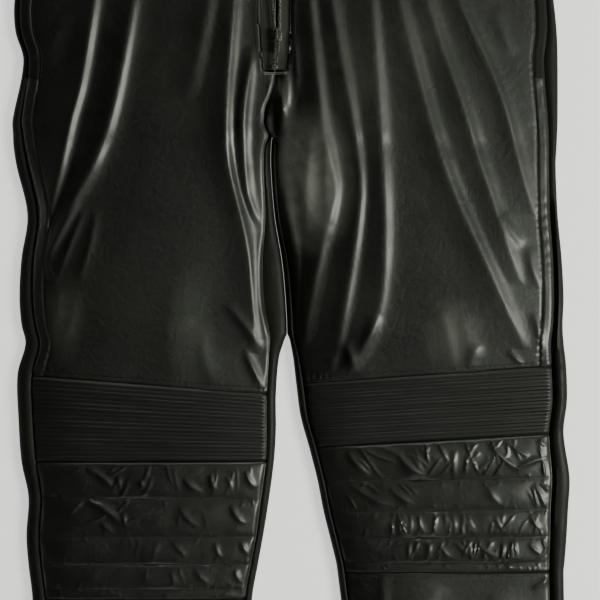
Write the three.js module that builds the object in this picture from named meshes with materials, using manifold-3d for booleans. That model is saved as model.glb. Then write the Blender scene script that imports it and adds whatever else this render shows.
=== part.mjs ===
// Leather motorcycle trousers laid flat, face up. Millimetres, +Z up, waist towards +Y.
// "right" and "left" are the wearer's: the right leg lies at -X, the left leg at +X.
import * as THREE from "three";
import { mergeVertices } from "three/addons/utils/BufferGeometryUtils.js";
import Module from "manifold-3d";

const wasm = await Module();
wasm.setup();

// Driving dimensions of the garment
const waistY = 525;
const hemY = -525;
const waistbandDepth = 35;
const leather = 2;
const seamGap = 0.4;
const layerGap = 0.3;
const foldMargin = 14;
const sideRadius = 8;
const crotchTop = 265;
const crotchTurn = 252;
const crotchY = 240;
const flyFoot = 313;
const flyFootEnd = 310.5;
const ribCount = 18;
const ribHeight = 1.1;
const padHeight = 3.2;
const fullPuffDepth = 26;
const hemDepth = 28;
const hemRaise = 0.9;

// Sections from the waist to the hem. y is the middle of a section, slant is how much higher its outer
// end lies than its inner end, outer and inner are the edges' places across, outerInset and innerInset
// are how far the seams lie inside those edges, seam and inseam are the seams' heights, crown is how far
// the front stands above them.
const rightSections = [
  { y: 525, slant: 0, outer: -240, inner: -16, outerInset: 6, innerInset: 0, seam: 12, inseam: 20, crown: 5 },
  { y: 490, slant: 0, outer: -255, inner: -16, outerInset: 6, innerInset: 0, seam: 12, inseam: 21, crown: 6 },
  { y: 440, slant: 0, outer: -270, inner: -16, outerInset: 6, innerInset: 0, seam: 12, inseam: 22, crown: 8 },
  { y: 385, slant: 0, outer: -278, inner: -16, outerInset: 6, innerInset: 0, seam: 12, inseam: 22, crown: 9 },
  { y: 355, slant: 0, outer: -277, inner: -16, outerInset: 6, innerInset: 0, seam: 12, inseam: 22, crown: 9 },
  { y: 325, slant: 0, outer: -269, inner: -16, outerInset: 6, innerInset: 0, seam: 12, inseam: 22, crown: 9 },
  { y: 265, slant: 0, outer: -280, inner: -18, outerInset: 9, innerInset: 0, seam: 12, inseam: 21, crown: 10 },
  { y: 252, slant: 0, outer: -279.5, inner: -18.5, outerInset: 10, innerInset: 0, seam: 12, inseam: 21, crown: 10 },
  { y: 240, slant: 0, outer: -279, inner: -20.5, outerInset: 11, innerInset: 5, seam: 12, inseam: 20, crown: 10 },
  { y: 220, slant: 0, outer: -276, inner: -21, outerInset: 12, innerInset: 6, seam: 12, inseam: 17, crown: 12 },
  { y: 170, slant: 1, outer: -265, inner: -17.5, outerInset: 11, innerInset: 8, seam: 12, inseam: 14, crown: 13 },
  { y: 125, slant: 3, outer: -271, inner: -10, outerInset: 12, innerInset: 18, seam: 12, inseam: 13, crown: 13 },
  { y: 85, slant: 6, outer: -273, inner: -6.5, outerInset: 13, innerInset: 20, seam: 12, inseam: 13, crown: 12 },
  { y: 55, slant: 10, outer: -271, inner: -6, outerInset: 14, innerInset: 15, seam: 12, inseam: 13, crown: 11 },
  { y: 34, slant: 13, outer: -267, inner: -12, outerInset: 14, innerInset: 10, seam: 12, inseam: 12, crown: 10 },
  { y: 0, slant: 18, outer: -275, inner: -15, outerInset: 15, innerInset: 9, seam: 12, inseam: 12, crown: 9 },
  { y: -40, slant: 9, outer: -274, inner: -15, outerInset: 15, innerInset: 9, seam: 12, inseam: 12, crown: 9 },
  { y: -77, slant: 0, outer: -271, inner: -17, outerInset: 15, innerInset: 8, seam: 12, inseam: 12, crown: 9 },
  { y: -114, slant: 2, outer: -264, inner: -22, outerInset: 13, innerInset: 8, seam: 12, inseam: 12, crown: 8 },
  { y: -152, slant: 1, outer: -266, inner: -28, outerInset: 13, innerInset: 7, seam: 12, inseam: 12, crown: 8 },
  { y: -180, slant: 0, outer: -264, inner: -33, outerInset: 13, innerInset: 7, seam: 12, inseam: 12, crown: 8 },
  { y: -215, slant: 0, outer: -260, inner: -39, outerInset: 13, innerInset: 7, seam: 12, inseam: 12, crown: 8 },
  { y: -370, slant: 0, outer: -255, inner: -49, outerInset: 12, innerInset: 7, seam: 12, inseam: 12, crown: 8 },
  { y: -525, slant: 0, outer: -252, inner: -56, outerInset: 12, innerInset: 7, seam: 12, inseam: 12, crown: 7 },
];
const leftSections = [
  { y: 525, slant: 0, outer: 232, inner: -16, outerInset: 8, innerInset: 0, seam: 12, inseam: 20, crown: 5 },
  { y: 490, slant: 0, outer: 244, inner: -16, outerInset: 8, innerInset: 0, seam: 12, inseam: 21, crown: 6 },
  { y: 440, slant: 0, outer: 257, inner: -16, outerInset: 8, innerInset: 0, seam: 12, inseam: 22, crown: 8 },
  { y: 385, slant: 0, outer: 264, inner: -16, outerInset: 8, innerInset: 0, seam: 12, inseam: 22, crown: 9 },
  { y: 355, slant: 0, outer: 267, inner: -16, outerInset: 10, innerInset: 0, seam: 12, inseam: 22, crown: 9 },
  { y: 325, slant: 0, outer: 268, inner: -16, outerInset: 14, innerInset: 0, seam: 12, inseam: 22, crown: 9 },
  { y: 265, slant: 0, outer: 268, inner: -18, outerInset: 10, innerInset: 0, seam: 12, inseam: 21, crown: 10 },
  { y: 252, slant: 0, outer: 267.5, inner: -18.5, outerInset: 9, innerInset: 0, seam: 12, inseam: 21, crown: 10 },
  { y: 240, slant: 0, outer: 267, inner: -19.3, outerInset: 8, innerInset: 4, seam: 12, inseam: 20, crown: 10 },
  { y: 220, slant: 0, outer: 266, inner: -19.6, outerInset: 7, innerInset: 4, seam: 12, inseam: 17, crown: 12 },
  { y: 170, slant: 1, outer: 268, inner: -15.5, outerInset: 8, innerInset: 4, seam: 12, inseam: 14, crown: 13 },
  { y: 125, slant: 3, outer: 272, inner: -8, outerInset: 9, innerInset: 5, seam: 12, inseam: 13, crown: 13 },
  { y: 85, slant: 6, outer: 274, inner: -4, outerInset: 10, innerInset: 5, seam: 12, inseam: 13, crown: 12 },
  { y: 55, slant: 10, outer: 273, inner: -2, outerInset: 10, innerInset: 5, seam: 12, inseam: 13, crown: 11 },
  { y: 34, slant: 14, outer: 274, inner: 2, outerInset: 13, innerInset: 6, seam: 12, inseam: 12, crown: 10 },
  { y: 10, slant: 17, outer: 276.5, inner: 5, outerInset: 15, innerInset: 7, seam: 12, inseam: 12, crown: 9 },
  { y: -24, slant: 15, outer: 277.5, inner: 9.5, outerInset: 15, innerInset: 7, seam: 12, inseam: 12, crown: 9 },
  { y: -56, slant: 13, outer: 274, inner: 18, outerInset: 15, innerInset: 7, seam: 12, inseam: 12, crown: 9 },
  { y: -95, slant: 3, outer: 280, inner: 26.5, outerInset: 18, innerInset: 7, seam: 12, inseam: 12, crown: 8 },
  { y: -126, slant: 2, outer: 278.5, inner: 32.5, outerInset: 18, innerInset: 7, seam: 12, inseam: 12, crown: 8 },
  { y: -153, slant: 1, outer: 277, inner: 39, outerInset: 17, innerInset: 7, seam: 12, inseam: 12, crown: 8 },
  { y: -178, slant: 0, outer: 275, inner: 45, outerInset: 16, innerInset: 7, seam: 12, inseam: 12, crown: 8 },
  { y: -188, slant: 0, outer: 274, inner: 46.5, outerInset: 15, innerInset: 7, seam: 12, inseam: 12, crown: 8 },
  { y: -370, slant: 0, outer: 277, inner: 69, outerInset: 13, innerInset: 7, seam: 12, inseam: 12, crown: 8 },
  { y: -525, slant: 0, outer: 276, inner: 82, outerInset: 12, innerInset: 7, seam: 12, inseam: 12, crown: 7 },
];

// Long soft ridges of the thigh fronts, each through three places, with half its width and its height
const folds = [
  { top: [-181, 470], middle: [-206, 300], foot: [-245, 145], width: 11, height: 5 },
  { top: [-150, 450], middle: [-176, 262], foot: [-240, 110], width: 15, height: 5 },
  { top: [-72, 480], middle: [-79, 370], foot: [-92, 270], width: 15, height: 3 },
  { top: [-48, 470], middle: [-60, 235], foot: [-33, 40], width: 12, height: 5 },
  { top: [-34, 300], middle: [-41, 230], foot: [-24, 160], width: 9, height: 3.5 },
  { top: [-1, 330], middle: [-7, 195], foot: [10, 60], width: 9, height: 4 },
  { top: [23, 480], middle: [48, 210], foot: [17, 32], width: 13, height: 5 },
  { top: [44, 480], middle: [75, 195], foot: [45, 25], width: 11, height: 4.5 },
  { top: [85, 480], middle: [101, 165], foot: [56, 20], width: 12, height: 5 },
  { top: [106, 490], middle: [156, 230], foot: [238, 42], width: 13, height: 5.5 },
  { top: [137, 450], middle: [192, 230], foot: [236, 95], width: 11, height: 4 },
  { top: [168, 440], middle: [212, 300], foot: [252, 175], width: 10, height: 3.5 },
];

// The fly from the waistband down to its foot: the fronts' lips and the zip's two rows of teeth
const fly = [
  { y: 490, rightLip: -23, leftLip: -9, rightTeeth: -18.6, leftTeeth: -13.4 },
  { y: 440, rightLip: -31, leftLip: -2, rightTeeth: -20, leftTeeth: -12 },
  { y: 385, rightLip: -31, leftLip: -1, rightTeeth: -17.6, leftTeeth: -12.4 },
  { y: 362, rightLip: -30.5, leftLip: -1, rightTeeth: -15.6, leftTeeth: -12.8 },
  { y: 344, rightLip: -29.5, leftLip: -2, rightTeeth: -14.3, leftTeeth: -13.9 },
  { y: 313, rightLip: -26.5, leftLip: -5, rightTeeth: -17.2, leftTeeth: -16.8 },
];
const tapeThickness = 0.9;
const tapeUnderLip = 7;
const teethWidth = 2.4;
const teethHeight = 1.3;

const legs = {
  right: {
    side: 1,
    sections: rightSections,
    kneeTop: 0,
    kneeFoot: -77,
    channels: [-77, -114, -152, -180, -205, -215],
  },
  left: {
    side: -1,
    sections: leftSections,
    kneeTop: 10,
    kneeFoot: -56,
    channels: [-56, -95, -126, -153, -178, -188],
  },
};

const black = new THREE.MeshStandardMaterial({ color: 0x17181a, roughness: 0.35, metalness: 0 });
const blackRib = new THREE.MeshStandardMaterial({ color: 0x151614, roughness: 0.45, metalness: 0 });
const blackTape = new THREE.MeshStandardMaterial({ color: 0x1b1c1b, roughness: 0.85, metalness: 0 });
const agedMetal = new THREE.MeshStandardMaterial({ color: 0x8c8a82, roughness: 0.35, metalness: 1 });

const trousers = new THREE.Group();

function add(name, geometry, material) {
  const mesh = new THREE.Mesh(geometry, material);
  mesh.name = name;
  trousers.add(mesh);
}

function lerp(a, b, t) {
  return a + (b - a) * t;
}

function smoothstep(a, b, x) {
  const t = Math.min(1, Math.max(0, (x - a) / (b - a)));
  return t * t * (3 - 2 * t);
}

// A smooth value of one column of a table at height y, by cubic spans between its rows
function smoothValue(table, column, y) {
  let i = 0;
  while (i < table.length - 2 && y < table[i + 1].y) {
    i += 1;
  }
  const slopeAt = (k) => {
    const before = table[Math.max(0, k - 1)];
    const after = table[Math.min(table.length - 1, k + 1)];
    return (after[column] - before[column]) / (after.y - before.y);
  };
  const a = table[i];
  const b = table[i + 1];
  const span = b.y - a.y;
  const t = (y - a.y) / span;
  const rise = t * t * (3 - 2 * t);
  const startBend = t * (1 - t) * (1 - t) * span * slopeAt(i);
  const endBend = t * t * (t - 1) * span * slopeAt(i + 1);
  return a[column] + (b[column] - a[column]) * rise + startBend + endBend;
}

// A straight value between the rows of a table
function straightValue(table, column, y) {
  let i = 0;
  while (i < table.length - 2 && y < table[i + 1].y) {
    i += 1;
  }
  const a = table[i];
  const b = table[i + 1];
  return lerp(a[column], b[column], (y - a.y) / (b.y - a.y));
}

function steps(from, to, count) {
  return Array.from({ length: count + 1 }, (_, i) => lerp(from, to, i / count));
}

// Heights where every piece of a leg has a row of points, so that seams meet point to point
function stationsOf(leg) {
  const all = [
    waistY,
    ...steps(waistY - waistbandDepth, flyFoot, 8),
    ...steps(flyFootEnd, crotchTop, 2),
    crotchTurn,
    crotchY,
    ...steps(220, leg.kneeTop, 9),
    ...steps(leg.kneeTop, leg.kneeFoot, 3).slice(1),
    ...leg.channels.slice(1),
    ...steps(leg.channels.at(-1), hemY + hemDepth, 6).slice(1),
    hemY,
  ];
  return all;
}

for (const leg of Object.values(legs)) {
  const columns = Object.keys(leg.sections[0]).filter((column) => column !== "y");
  leg.stations = stationsOf(leg);
  leg.rows = leg.stations.map((y) => {
    const row = { y };
    for (const column of columns) {
      row[column] = smoothValue(leg.sections, column, y);
    }
    return row;
  });
}

function rowAt(leg, y) {
  const row = { y };
  for (const column of Object.keys(leg.rows[0])) {
    if (column !== "y") {
      row[column] = straightValue(leg.rows, column, y);
    }
  }
  return row;
}

// Height of all the ridges at a place on the thigh fronts
function foldHeight(x, y) {
  let height = 0;
  for (const { top, middle, foot, width, height: rise } of folds) {
    if (y < top[1] && y > foot[1]) {
      const byTop = ((y - middle[1]) * (y - foot[1])) / ((top[1] - middle[1]) * (top[1] - foot[1]));
      const byMiddle = ((y - top[1]) * (y - foot[1])) / ((middle[1] - top[1]) * (middle[1] - foot[1]));
      const byFoot = 1 - byTop - byMiddle;
      const crest = byTop * top[0] + byMiddle * middle[0] + byFoot * foot[0];
      const along = (top[1] - y) / (top[1] - foot[1]);
      const fade = Math.sqrt(Math.sin(Math.PI * along));
      const across = (x - crest) / width;
      height = Math.max(height, rise * fade * Math.exp(-across * across));
    }
  }
  return height;
}

// A point on the outside of a leg's front, at place x across and row height v
function frontPoint(leg, x, v, raise = 0) {
  const row = rowAt(leg, v);
  const start = row.outer + leg.side * row.outerInset;
  const end = row.inner - leg.side * row.innerInset;
  const s = (x - start) / (end - start);
  const y = v + row.slant * (0.5 - s);
  const fromEdge = Math.min(Math.abs(x - start), Math.abs(end - x));
  const arch = row.crown * (1 - Math.abs(2 * s - 1) ** 3);
  const ridges = foldHeight(x, y) * smoothstep(0, foldMargin, fromEdge);
  return new THREE.Vector3(x, y, lerp(row.seam, row.inseam, s) + arch + ridges + raise);
}

function surfaceNormal(leg, x, v) {
  const step = 1;
  const across = frontPoint(leg, x + step, v).sub(frontPoint(leg, x - step, v));
  const along = frontPoint(leg, x, v + step).sub(frontPoint(leg, x, v - step));
  return across.cross(along).normalize();
}

// A closed wall between two grids of points, the outside and the inside
function wall(outside, inside) {
  const rows = outside.length;
  const columns = outside[0].length;
  const points = [...outside.flat(), ...inside.flat()];
  const index = [];
  const at = (layer, i, j) => (layer * rows + i) * columns + j;
  const quad = (a, b, c, d) => index.push(a, b, c, a, c, d);
  for (let i = 0; i < rows - 1; i += 1) {
    for (let j = 0; j < columns - 1; j += 1) {
      quad(at(0, i, j), at(0, i + 1, j), at(0, i + 1, j + 1), at(0, i, j + 1));
      quad(at(1, i, j), at(1, i, j + 1), at(1, i + 1, j + 1), at(1, i + 1, j));
    }
  }
  for (let i = 0; i < rows - 1; i += 1) {
    const last = columns - 1;
    quad(at(0, i, 0), at(1, i, 0), at(1, i + 1, 0), at(0, i + 1, 0));
    quad(at(0, i, last), at(0, i + 1, last), at(1, i + 1, last), at(1, i, last));
  }
  for (let j = 0; j < columns - 1; j += 1) {
    const last = rows - 1;
    quad(at(0, 0, j), at(0, 0, j + 1), at(1, 0, j + 1), at(1, 0, j));
    quad(at(0, last, j), at(1, last, j), at(1, last, j + 1), at(0, last, j + 1));
  }
  return outwards(points, index);
}

// Turns the faces round where they enclose a negative volume
function outwards(points, index) {
  let volume = 0;
  for (let k = 0; k < index.length; k += 3) {
    const [a, b, c] = [points[index[k]], points[index[k + 1]], points[index[k + 2]]];
    volume += a.dot(b.clone().cross(c));
  }
  if (volume < 0) {
    index.reverse();
  }
  const geometry = new THREE.BufferGeometry().setFromPoints(points);
  geometry.setIndex(index);
  geometry.computeVertexNormals();
  return geometry;
}

// Inner edge of a leg's front: the fly's lip, or the middle seam, or the inseam
function frontInnerEdge(leg, v) {
  if (v >= flyFoot - 0.01) {
    return straightValue(fly, leg.side > 0 ? "rightLip" : "leftLip", v);
  }
  const row = rowAt(leg, v);
  return row.inner - leg.side * (row.innerInset + seamGap / 2);
}

// A leg's front panel between the rows given, with the wall's thickness under it.
// raise gives how far the outside stands proud at a row and a share of the width.
function frontPanel(leg, rowHeights, columns, raise) {
  const outside = [];
  const inside = [];
  const [first, last] = [rowHeights[0], rowHeights.at(-1)];
  for (const height of rowHeights) {
    const v = Math.min(first - seamGap / 2, Math.max(last + seamGap / 2, height));
    const row = rowAt(leg, v);
    const start = row.outer + leg.side * (row.outerInset + seamGap / 2);
    const end = frontInnerEdge(leg, v);
    const outerRow = [];
    const innerRow = [];
    for (let j = 0; j <= columns; j += 1) {
      const s = j / columns;
      const x = lerp(start, end, s);
      const point = frontPoint(leg, x, v);
      const atEdge = j === 0 || j === columns || height === first || height === last;
      const normal = atEdge ? new THREE.Vector3(0, 0, 1) : surfaceNormal(leg, x, v);
      outerRow.push(point.clone().addScaledVector(normal, raise(height, s)));
      innerRow.push(point.addScaledVector(normal, -leather));
    }
    outside.push(outerRow);
    inside.push(innerRow);
  }
  return wall(outside, inside);
}

function rowsBetween(leg, top, foot) {
  return leg.stations.filter((v) => v <= top + 0.01 && v >= foot - 0.01);
}

function thighFront(leg) {
  const rows = rowsBetween(leg, waistY - waistbandDepth, leg.kneeTop);
  return frontPanel(leg, rows, 24, () => 0);
}

// Ribs with flat tops and narrow valleys, low at the panel's two ends
function kneeBand(leg) {
  const margin = 1.5;
  const top = leg.kneeTop - margin;
  const pitch = (leg.kneeTop - leg.kneeFoot - 2 * margin) / ribCount;
  const rows = [leg.kneeTop];
  const valleys = [];
  for (let rib = 0; rib < ribCount; rib += 1) {
    const start = top - rib * pitch;
    rows.push(start, start - pitch * 0.3, start - pitch * 0.7);
    valleys.push(start);
  }
  rows.push(top - ribCount * pitch, leg.kneeFoot);
  valleys.push(leg.kneeTop, top - ribCount * pitch, leg.kneeFoot);
  return frontPanel(leg, rows, 5, (v) => (valleys.includes(v) ? 0 : ribHeight));
}

// Padded channels, puffed between their seams
function shinPanel(leg) {
  const shares = [0.14, 0.5, 0.86];
  const rows = [leg.channels[0]];
  const rise = new Map([[leg.channels[0], 0]]);
  for (let k = 1; k < leg.channels.length; k += 1) {
    const [top, foot] = [leg.channels[k - 1], leg.channels[k]];
    const puff = padHeight * Math.min(1, (top - foot) / fullPuffDepth);
    for (const share of shares) {
      const v = lerp(top, foot, share);
      rows.push(v);
      rise.set(v, puff * Math.sqrt(4 * share * (1 - share)));
    }
    rows.push(foot);
    rise.set(foot, 0);
  }
  return frontPanel(leg, rows, 8, (v, s) => rise.get(v) * Math.sqrt(Math.sin(Math.PI * s)));
}

function lowerFront(leg) {
  const rows = rowsBetween(leg, leg.channels.at(-1), hemY);
  const hemLine = hemY + hemDepth;
  rows.splice(rows.length - 1, 0, hemLine - 1);
  return frontPanel(leg, rows, 8, (v) => (v < hemLine - 0.5 ? hemRaise : 0));
}

// The rolled side of a back: from its seam round to the flat underside. angles run from the seam (90)
// past the widest place (0) to the underside (-90).
function rolledSide(edge, inward, inset, seamHeight) {
  const wide = seamHeight / 2;
  const outside = [];
  const inside = [];
  for (const degrees of [90, 45, 0, -45, -90]) {
    const angle = THREE.MathUtils.degToRad(degrees);
    const reach = degrees > 0 ? inset : sideRadius;
    const turn = 1 - Math.cos(angle);
    const gap = degrees === 90 ? -seamGap / 2 : 0;
    outside.push([edge + inward * (reach * turn + gap), wide + wide * Math.sin(angle)]);
    const depth = leather + (reach - leather) * turn + gap;
    inside.push([edge + inward * depth, wide + (wide - leather) * Math.sin(angle)]);
  }
  return { outside, inside };
}

// The back's middle at the hips: flat on the floor, with its edge at the middle seam
function flatMiddle(edge, inward) {
  const places = [0, 5, 10, 16, 22].map((d) => edge + inward * (d === 0 ? seamGap / 2 : d));
  return { outside: places.map((x) => [x, 0]), inside: places.map((x) => [x, leather]) };
}

// The back where it turns up between the legs: a quarter round that ends upright
function uprightMiddle(edge, inward) {
  const radius = 12;
  const outside = [];
  const inside = [];
  for (const degrees of [0, -22.5, -45, -67.5, -90]) {
    const angle = THREE.MathUtils.degToRad(degrees);
    const turn = 1 - Math.cos(angle);
    outside.push([edge + inward * (seamGap / 2 + radius * turn), radius + radius * Math.sin(angle)]);
    const depth = seamGap / 2 + leather + (radius - leather) * turn;
    inside.push([edge + inward * depth, radius + (radius - leather) * Math.sin(angle)]);
  }
  return { outside, inside };
}

function innerSide(leg, row) {
  const inward = -leg.side;
  if (row.y >= crotchTop) {
    return flatMiddle(row.inner, inward);
  }
  if (row.y > crotchY) {
    return uprightMiddle(row.inner, inward);
  }
  return rolledSide(row.inner, inward, row.innerInset, row.inseam);
}

// One row of a back, from the outer seam under the leg to the inner seam or the middle
function backRow(leg, v) {
  const row = rowAt(leg, v);
  const outer = rolledSide(row.outer, leg.side, row.outerInset, row.seam);
  const inner = innerSide(leg, row);
  const layers = {};
  for (const layer of ["outside", "inside"]) {
    const from = outer[layer].at(-1);
    const to = inner[layer].at(-1);
    const between = [0.25, 0.5, 0.75].map((t) => [lerp(from[0], to[0], t), from[1]]);
    const section = [...outer[layer], ...between, ...inner[layer].slice().reverse()];
    const [start, end] = [section[0][0], section.at(-1)[0]];
    layers[layer] = section.map(([x, z]) => {
      const s = (x - start) / (end - start);
      return new THREE.Vector3(x, v + row.slant * (0.5 - s), z);
    });
  }
  return layers;
}

function backPanel(leg) {
  const top = waistY - waistbandDepth;
  const rows = rowsBetween(leg, top, hemY).map((v) => backRow(leg, Math.min(v, top - seamGap / 2)));
  return wall(rows.map((row) => row.outside), rows.map((row) => row.inside));
}

function waistbandBack() {
  const layers = { outside: [], inside: [] };
  for (const v of [waistY, waistY - waistbandDepth + seamGap / 2]) {
    const right = backRow(legs.right, v);
    const left = backRow(legs.left, v);
    for (const layer of ["outside", "inside"]) {
      layers[layer].push([...right[layer], ...left[layer].slice().reverse()]);
    }
  }
  return wall(layers.outside, layers.inside);
}

// Middle of the waist, where the right front ends and the left front begins
const middleX = rightSections[0].inner;
const underlap = 12;
const overlap = 24;
const overlapLift = leather + 0.8;
const stepLength = 15;

// Outside of the fronts at the hips, on whichever side of the middle x lies
function hipPoint(x, v, raise) {
  return frontPoint(x < middleX ? legs.right : legs.left, x, v, raise);
}

// A flat strip that follows the hips' front, raised by lift(x), with places across at each height
function hipStrip(heights, placesAt, thickness, lift) {
  const outside = heights.map((v) => placesAt(v).map((x) => hipPoint(x, v, lift(x, v) + thickness)));
  const inside = heights.map((v) => placesAt(v).map((x) => hipPoint(x, v, lift(x, v))));
  return wall(outside, inside);
}

// The right band ends in an underlap, and the left band steps up over it
function waistbandFront(leg) {
  const heights = [waistY, waistY - waistbandDepth + seamGap / 2];
  const stepTop = middleX + underlap + 1;
  const stepFoot = stepTop + stepLength;
  const placesAt = (v) => {
    const row = rowAt(leg, v);
    const start = row.outer + leg.side * (row.outerInset + seamGap / 2);
    if (leg.side > 0) {
      return steps(start, middleX + underlap, 14);
    }
    return [...steps(start, stepFoot, 12), stepTop, ...steps(stepTop, middleX - overlap, 3).slice(1)];
  };
  const step = (x) => (x > stepFoot - 1 ? 0 : overlapLift);
  const lift = leg.side > 0 ? () => -leather : (x) => step(x) - leather;
  return hipStrip(heights, placesAt, leather, lift);
}

function roundPlate(radius, height, edge) {
  const profile = [
    [0, 0],
    [radius, 0],
    [radius, height - edge],
    [radius - edge, height],
    [0, height],
  ].map(([x, y]) => new THREE.Vector2(x, y));
  return closed(new THREE.LatheGeometry(profile, 24).rotateX(Math.PI / 2));
}

// A geometry with its points joined, without the empty triangles that a lathe leaves on its axis
function closed(geometry) {
  geometry.deleteAttribute("normal");
  geometry.deleteAttribute("uv");
  const joined = mergeVertices(geometry, 1e-4);
  const index = [];
  for (let k = 0; k < joined.index.count; k += 3) {
    const [a, b, c] = [0, 1, 2].map((corner) => joined.index.getX(k + corner));
    if (a !== b && b !== c && c !== a) {
      index.push(a, b, c);
    }
  }
  joined.setIndex(index);
  return joined;
}

const stud = { radius: 8, height: 3, edge: 1, fromMiddle: 10, clearance: 0.15 };

// The stud on the waistband's overlap, seated just above the leather under its whole rim
function waistStud() {
  const { radius, height, edge, fromMiddle, clearance } = stud;
  const place = [middleX - fromMiddle, waistY - waistbandDepth / 2];
  const rim = steps(0, 2 * Math.PI, 12).map((a) => {
    return hipPoint(place[0] + radius * Math.cos(a), place[1] + radius * Math.sin(a), overlapLift).z;
  });
  return roundPlate(radius, height, edge).translate(place[0], place[1], Math.max(...rim) + clearance);
}

// Pocket facing: a band on the front beside the side seam, from under the waistband down
function pocketFacing(leg) {
  const facingTop = 478;
  const facingFoot = 307;
  const facingWidth = 9;
  const fromSeam = 1;
  const thickness = 1.2;
  const heights = [facingTop, ...rowsBetween(leg, facingTop, facingFoot), facingFoot];
  const placesAt = (v) => {
    const row = rowAt(leg, v);
    const start = row.outer + leg.side * (row.outerInset + fromSeam);
    return steps(start, start + leg.side * facingWidth, 3);
  };
  const outside = heights.map((v) => placesAt(v).map((x) => frontPoint(leg, x, v, layerGap + thickness)));
  const inside = heights.map((v) => placesAt(v).map((x) => frontPoint(leg, x, v, layerGap)));
  return wall(outside, inside);
}

// Half of the fly zip: a tape that reaches under the front's lip, with its row of teeth as a bead
function flyTape(leg) {
  const [lip, teeth] = leg.side > 0 ? ["rightLip", "rightTeeth"] : ["leftLip", "leftTeeth"];
  const tapeTop = 488;
  const tapeFoot = 315;
  const tapeLift = -leather - layerGap - tapeThickness;
  const beadSlope = 0.2;
  const bends = [tapeTop, ...fly.slice(1, -1).map((row) => row.y), tapeFoot];
  const heights = bends.flatMap((y, i) => (i > 0 ? [(bends[i - 1] + y) / 2, y] : [y]));
  const layer = (raise, bead) =>
    heights.map((v) => {
      const tapeEdge = straightValue(fly, lip, v) - leg.side * tapeUnderLip;
      const teethEdge = straightValue(fly, teeth, v);
      const beadEdge = teethEdge - leg.side * teethWidth;
      const point = (x, rise) => {
        const z = Math.min(frontPoint(leg, x, v, raise).z, frontPoint(leg, beadEdge, v, raise).z);
        return new THREE.Vector3(x, v, z + rise);
      };
      return [
        point(tapeEdge, 0),
        point(lerp(tapeEdge, beadEdge, 0.5), 0),
        point(beadEdge, 0),
        point(beadEdge + leg.side * beadSlope, bead),
        point(teethEdge, bead),
      ];
    });
  return wall(layer(tapeLift + tapeThickness, teethHeight), layer(tapeLift, 0));
}

// Slider and pull tab of the fly zip, in the slider's own frame: +Y towards the waist, z = 0 under its plate
const sliderPlace = { x: -14.2, y: 350 };
const plateSize = { width: 10, neck: 8.8, length: 12, thickness: 1.6 };
const flange = 1;
const handle = { width: 1.7, length: 9.4, post: 1.6, window: 2.7, bar: 1.1 };
const pull = { width: 6, length: 19, thickness: 1.2, end: 1.3, corner: 0.6, shoulder: 1, taper: 0.5, toe: 2.5 };
const pullSlot = { width: 2.7, length: 8.2 };
const pullEye = { radius: 1.3, fromEnd: 3.4, sides: 10 };
const pinHeight = plateSize.thickness + handle.window / 2;

function solid(geometry) {
  const merged = closed(geometry);
  const vertProperties = new Float32Array(merged.attributes.position.array);
  const triVerts = new Uint32Array(merged.index.array);
  return new wasm.Manifold(new wasm.Mesh({ numProp: 3, vertProperties, triVerts }));
}

function fromSolid(manifold) {
  const { vertProperties, triVerts } = manifold.getMesh();
  const geometry = new THREE.BufferGeometry();
  geometry.setAttribute("position", new THREE.BufferAttribute(new Float32Array(vertProperties), 3));
  geometry.setIndex([...triVerts]);
  return geometry;
}

function box(x, y, z, width, length, height) {
  return new THREE.BoxGeometry(width, length, height).translate(x, y, z + height / 2);
}

// An outline that narrows towards the waist end, as a zip slider's plate does
function sliderPlate() {
  const { width, neck, length, thickness } = plateSize;
  const shoulder = length * 0.1;
  const shape = new THREE.Shape();
  shape.moveTo(-neck / 2, -length / 2);
  shape.lineTo(neck / 2, -length / 2);
  shape.lineTo(width / 2, shoulder);
  shape.quadraticCurveTo(width / 2, length / 2, 0, length / 2);
  shape.quadraticCurveTo(-width / 2, length / 2, -width / 2, shoulder);
  return new THREE.ExtrudeGeometry(shape, { depth: thickness, bevelEnabled: false, curveSegments: 5 });
}

// The slider: a plate over the teeth, a flange down each side of them and a handle that holds the pull tab
function slider() {
  const { neck, length, thickness } = plateSize;
  const reach = 0.3;
  let body = solid(sliderPlate());
  for (const side of [-1, 1]) {
    const x = side * (neck / 2 - flange / 2);
    body = body.add(solid(box(x, -length / 4, -teethHeight, flange, length / 2, teethHeight + reach)));
    const y = side * (handle.length / 2 - handle.post / 2);
    body = body.add(solid(box(0, y, thickness - reach, handle.width, handle.post, handle.window + 2 * reach)));
  }
  const barFoot = thickness + handle.window;
  return fromSolid(body.add(solid(box(0, 0, barFoot, handle.width, handle.length, handle.bar))));
}

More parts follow.
